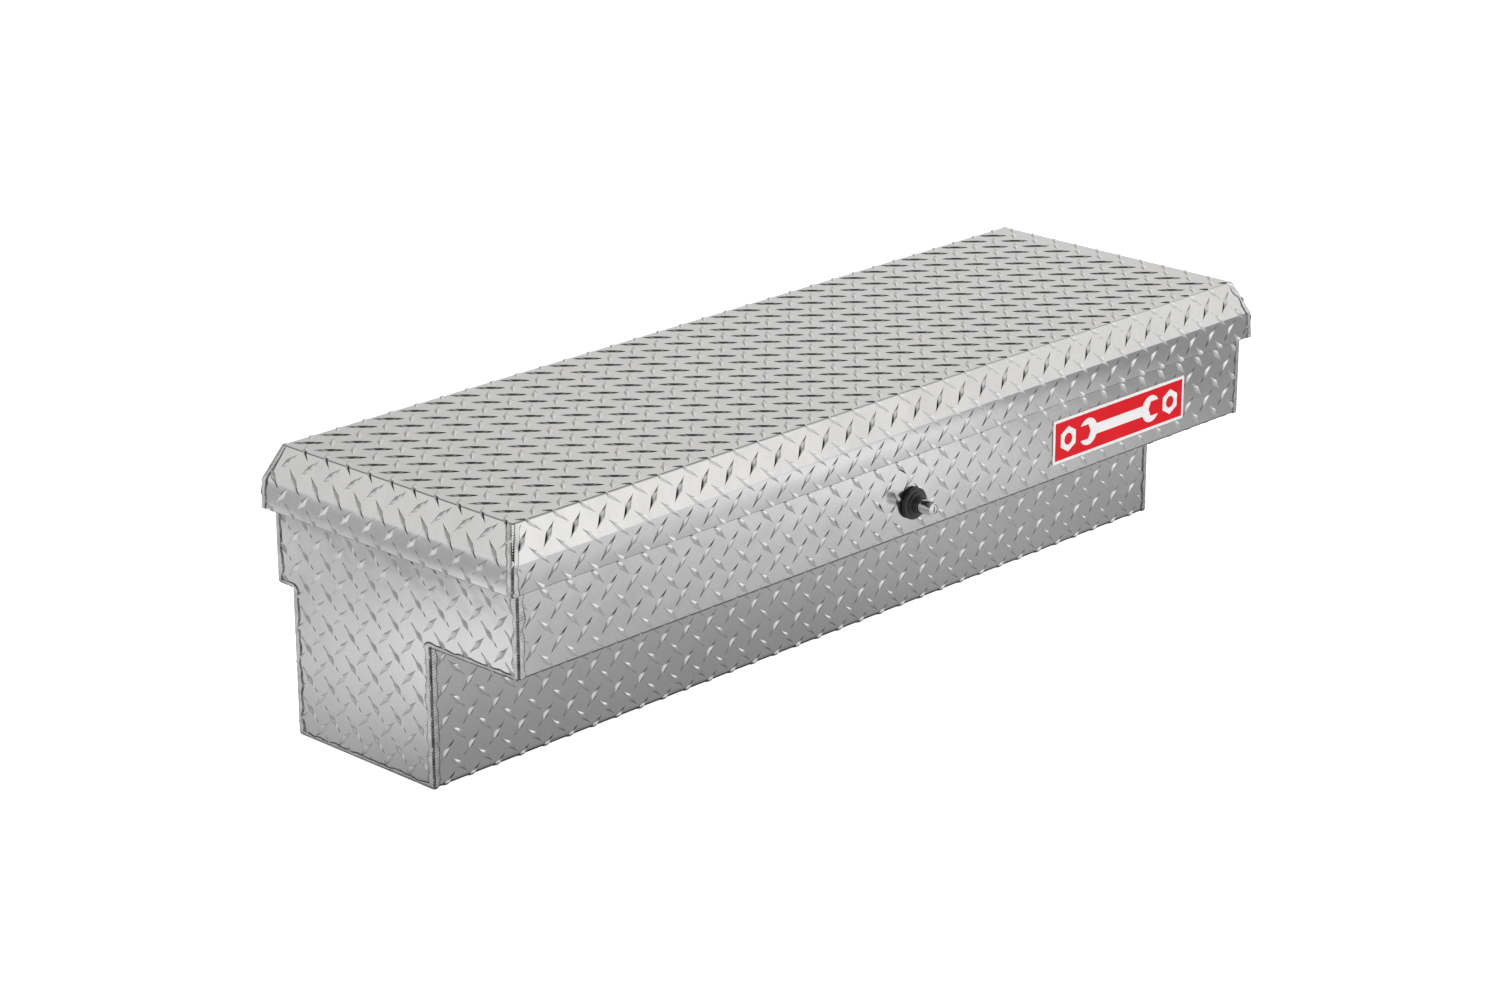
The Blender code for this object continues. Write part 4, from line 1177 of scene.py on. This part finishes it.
def studio():
    """The soft room round the box: a sky that changes with height, with lighter and darker patches."""
    world = bpy.data.worlds.new("studio")
    bpy.context.scene.world = world
    world.use_nodes = True
    nodes = Nodes(world.node_tree)
    way = nodes.add("ShaderNodeTexCoord").outputs["Generated"]
    height = nodes.add("ShaderNodeSeparateXYZ", {0: way}).outputs["Z"]
    ramp = nodes.add("ShaderNodeValToRGB", {"Fac": nodes.ramp(height, -1, 1, 0, 1)})
    elements = ramp.color_ramp.elements
    while len(elements) < len(SKY):
        elements.new(0.5)
    for element, (z, value) in zip(elements, SKY):
        element.position = (z + 1) / 2
        element.color = (value, value, value, 1)
    total = ramp.outputs["Color"]
    for patch in SKY_LOBES:
        total = nodes.sum(total, lobe(nodes, way, *patch))
    strength = nodes.at_least(total, FAINTEST)
    background = nodes.add("ShaderNodeBackground", {"Color": (1, 0.988, 0.978, 1), "Strength": strength})
    out = nodes.add("ShaderNodeOutputWorld")
    nodes.tree.links.new(background.outputs[0], out.inputs["Surface"])


def floor():
    """Pale floor: white to look at; the light it gives the box is a painted glow, with a painted contact
    shadow close by and soft painted pools of light and shade.
    """
    size, z = 6.0, -2.2 * MM
    data = bpy.data.meshes.new("floor")
    corners = [(-size, -size, z), (size, -size, z), (size, size, z), (-size, size, z)]
    data.from_pydata(corners, [], [(0, 1, 2, 3)])
    material = bpy.data.materials.new("pale_floor")
    material.use_nodes = True
    nodes = Nodes(material.node_tree)
    spot = nodes.add("ShaderNodeTexCoord").outputs["Object"]

    def vector_math(operation, first, second=(0, 0, 0), output="Vector"):
        return nodes.add("ShaderNodeVectorMath", {0: first, 1: second}, operation=operation).outputs[output]

    # distance from the box's footprint for the painted contact shadow, then the painted pools of light and
    # shade
    beside = vector_math("SUBTRACT", vector_math("ABSOLUTE", spot), (WRAP_HALF, Y_LOW_BACK, 0.01))
    away = vector_math("LENGTH", vector_math("MAXIMUM", beside), output="Value")
    glow = nodes.ramp(away, 0, 0.015, 0.10, 0.40)
    terms = [nodes.ramp(away, 0.03, 0.65, 0, 0.52)]
    for x, y, inner, outer, amount in FLOOR_POOLS:
        reach = vector_math("LENGTH", vector_math("SUBTRACT", spot, (x, y, 0)), output="Value")
        terms.append(nodes.ramp(reach, outer, inner, 0.0, amount, interpolation_type="SMOOTHSTEP"))
    # painted shade far out to the left, and painted light beyond it
    far_left = nodes.add("ShaderNodeSeparateXYZ", {0: spot}).outputs["X"]
    terms.append(nodes.ramp(far_left, -0.98, -1.03, 0, -0.34))
    terms.append(nodes.ramp(far_left, -1.28, -1.40, 0, 0.36))
    for term in terms:
        glow = nodes.sum(glow, term)
    reflected = nodes.add("ShaderNodeEmission", {"Strength": nodes.at_least(glow, FAINTEST)})
    seen_glow = nodes.add("ShaderNodeEmission", {"Strength": 0.85})
    paper = nodes.add("ShaderNodeBsdfDiffuse", {"Color": (0.86, 0.86, 0.86, 1)})
    seen = nodes.add("ShaderNodeAddShader", {0: seen_glow.outputs[0], 1: paper.outputs[0]})
    ray = nodes.add("ShaderNodeLightPath").outputs["Is Camera Ray"]
    mixed = nodes.add("ShaderNodeMixShader", {0: ray, 1: reflected.outputs[0], 2: seen.outputs[0]})
    out = nodes.add("ShaderNodeOutputMaterial")
    nodes.tree.links.new(mixed.outputs[0], out.inputs["Surface"])
    data.materials.append(material)
    add_object("floor", data)


def area_light(name, position, target, size, power):
    light = bpy.data.lights.new(name, "AREA")
    light.shape, light.size, light.energy = "SQUARE", size, power
    thing = add_object(name, light)
    thing.location = position
    thing.rotation_euler = (Vector(target) - Vector(position)).to_track_quat("-Z", "Y").to_euler()
    thing.visible_glossy = False


def camera():
    """Looks at the box's front and left end from a little above."""
    data = bpy.data.cameras.new("camera")
    data.lens, data.sensor_width = 91.5, 36.0
    data.clip_start, data.clip_end = 0.05, 60.0
    thing = add_object("camera", data)
    target, distance = Vector((-0.1414, -0.1304, 0.2092)), 4.217
    azimuth, elevation, roll = math.radians(-46.05), math.radians(19.62), math.radians(-0.16)
    away = Vector((
        math.sin(azimuth) * math.cos(elevation), -math.cos(azimuth) * math.cos(elevation), math.sin(elevation)
    ))
    turn = (-away).to_track_quat("-Z", "Y").to_matrix().to_4x4()
    thing.matrix_world = Matrix.Translation(target + away * distance) @ turn @ Matrix.Rotation(roll, 4, "Z")
    bpy.context.scene.camera = thing


camera()
studio()
floor()
area_light("front_fill", (1.2, -3.2, 1.6), (0.1, -0.2, 0.2), 1.6, 40)
area_light("top_fill", (-0.3, -0.2, 3.0), (0, 0, 0), 2.4, 45)
bpy.context.scene.view_settings.view_transform = "Standard"

lid()
body_wrap()
end_panel("left_end_panel", -1)
end_panel("right_end_panel", 1)
end_weld("left_end_weld", -1)
end_weld("right_end_weld", 1)
for name, side_x, side_y in (
    ("front_left", -1, -1), ("front_right", 1, -1), ("back_left", -1, 1), ("back_right", 1, 1)
):
    lid_weld(f"lid_weld_{name}", side_x, side_y)
weather_seal()
badge()
lock()
hinge_leaf("hinge_leaf_on_body", "body_hinge_leaf", 0, "box")
hinge_leaf("hinge_leaf_on_lid", "lid_hinge_leaf", 1, "lid")
rivets()
fittings()
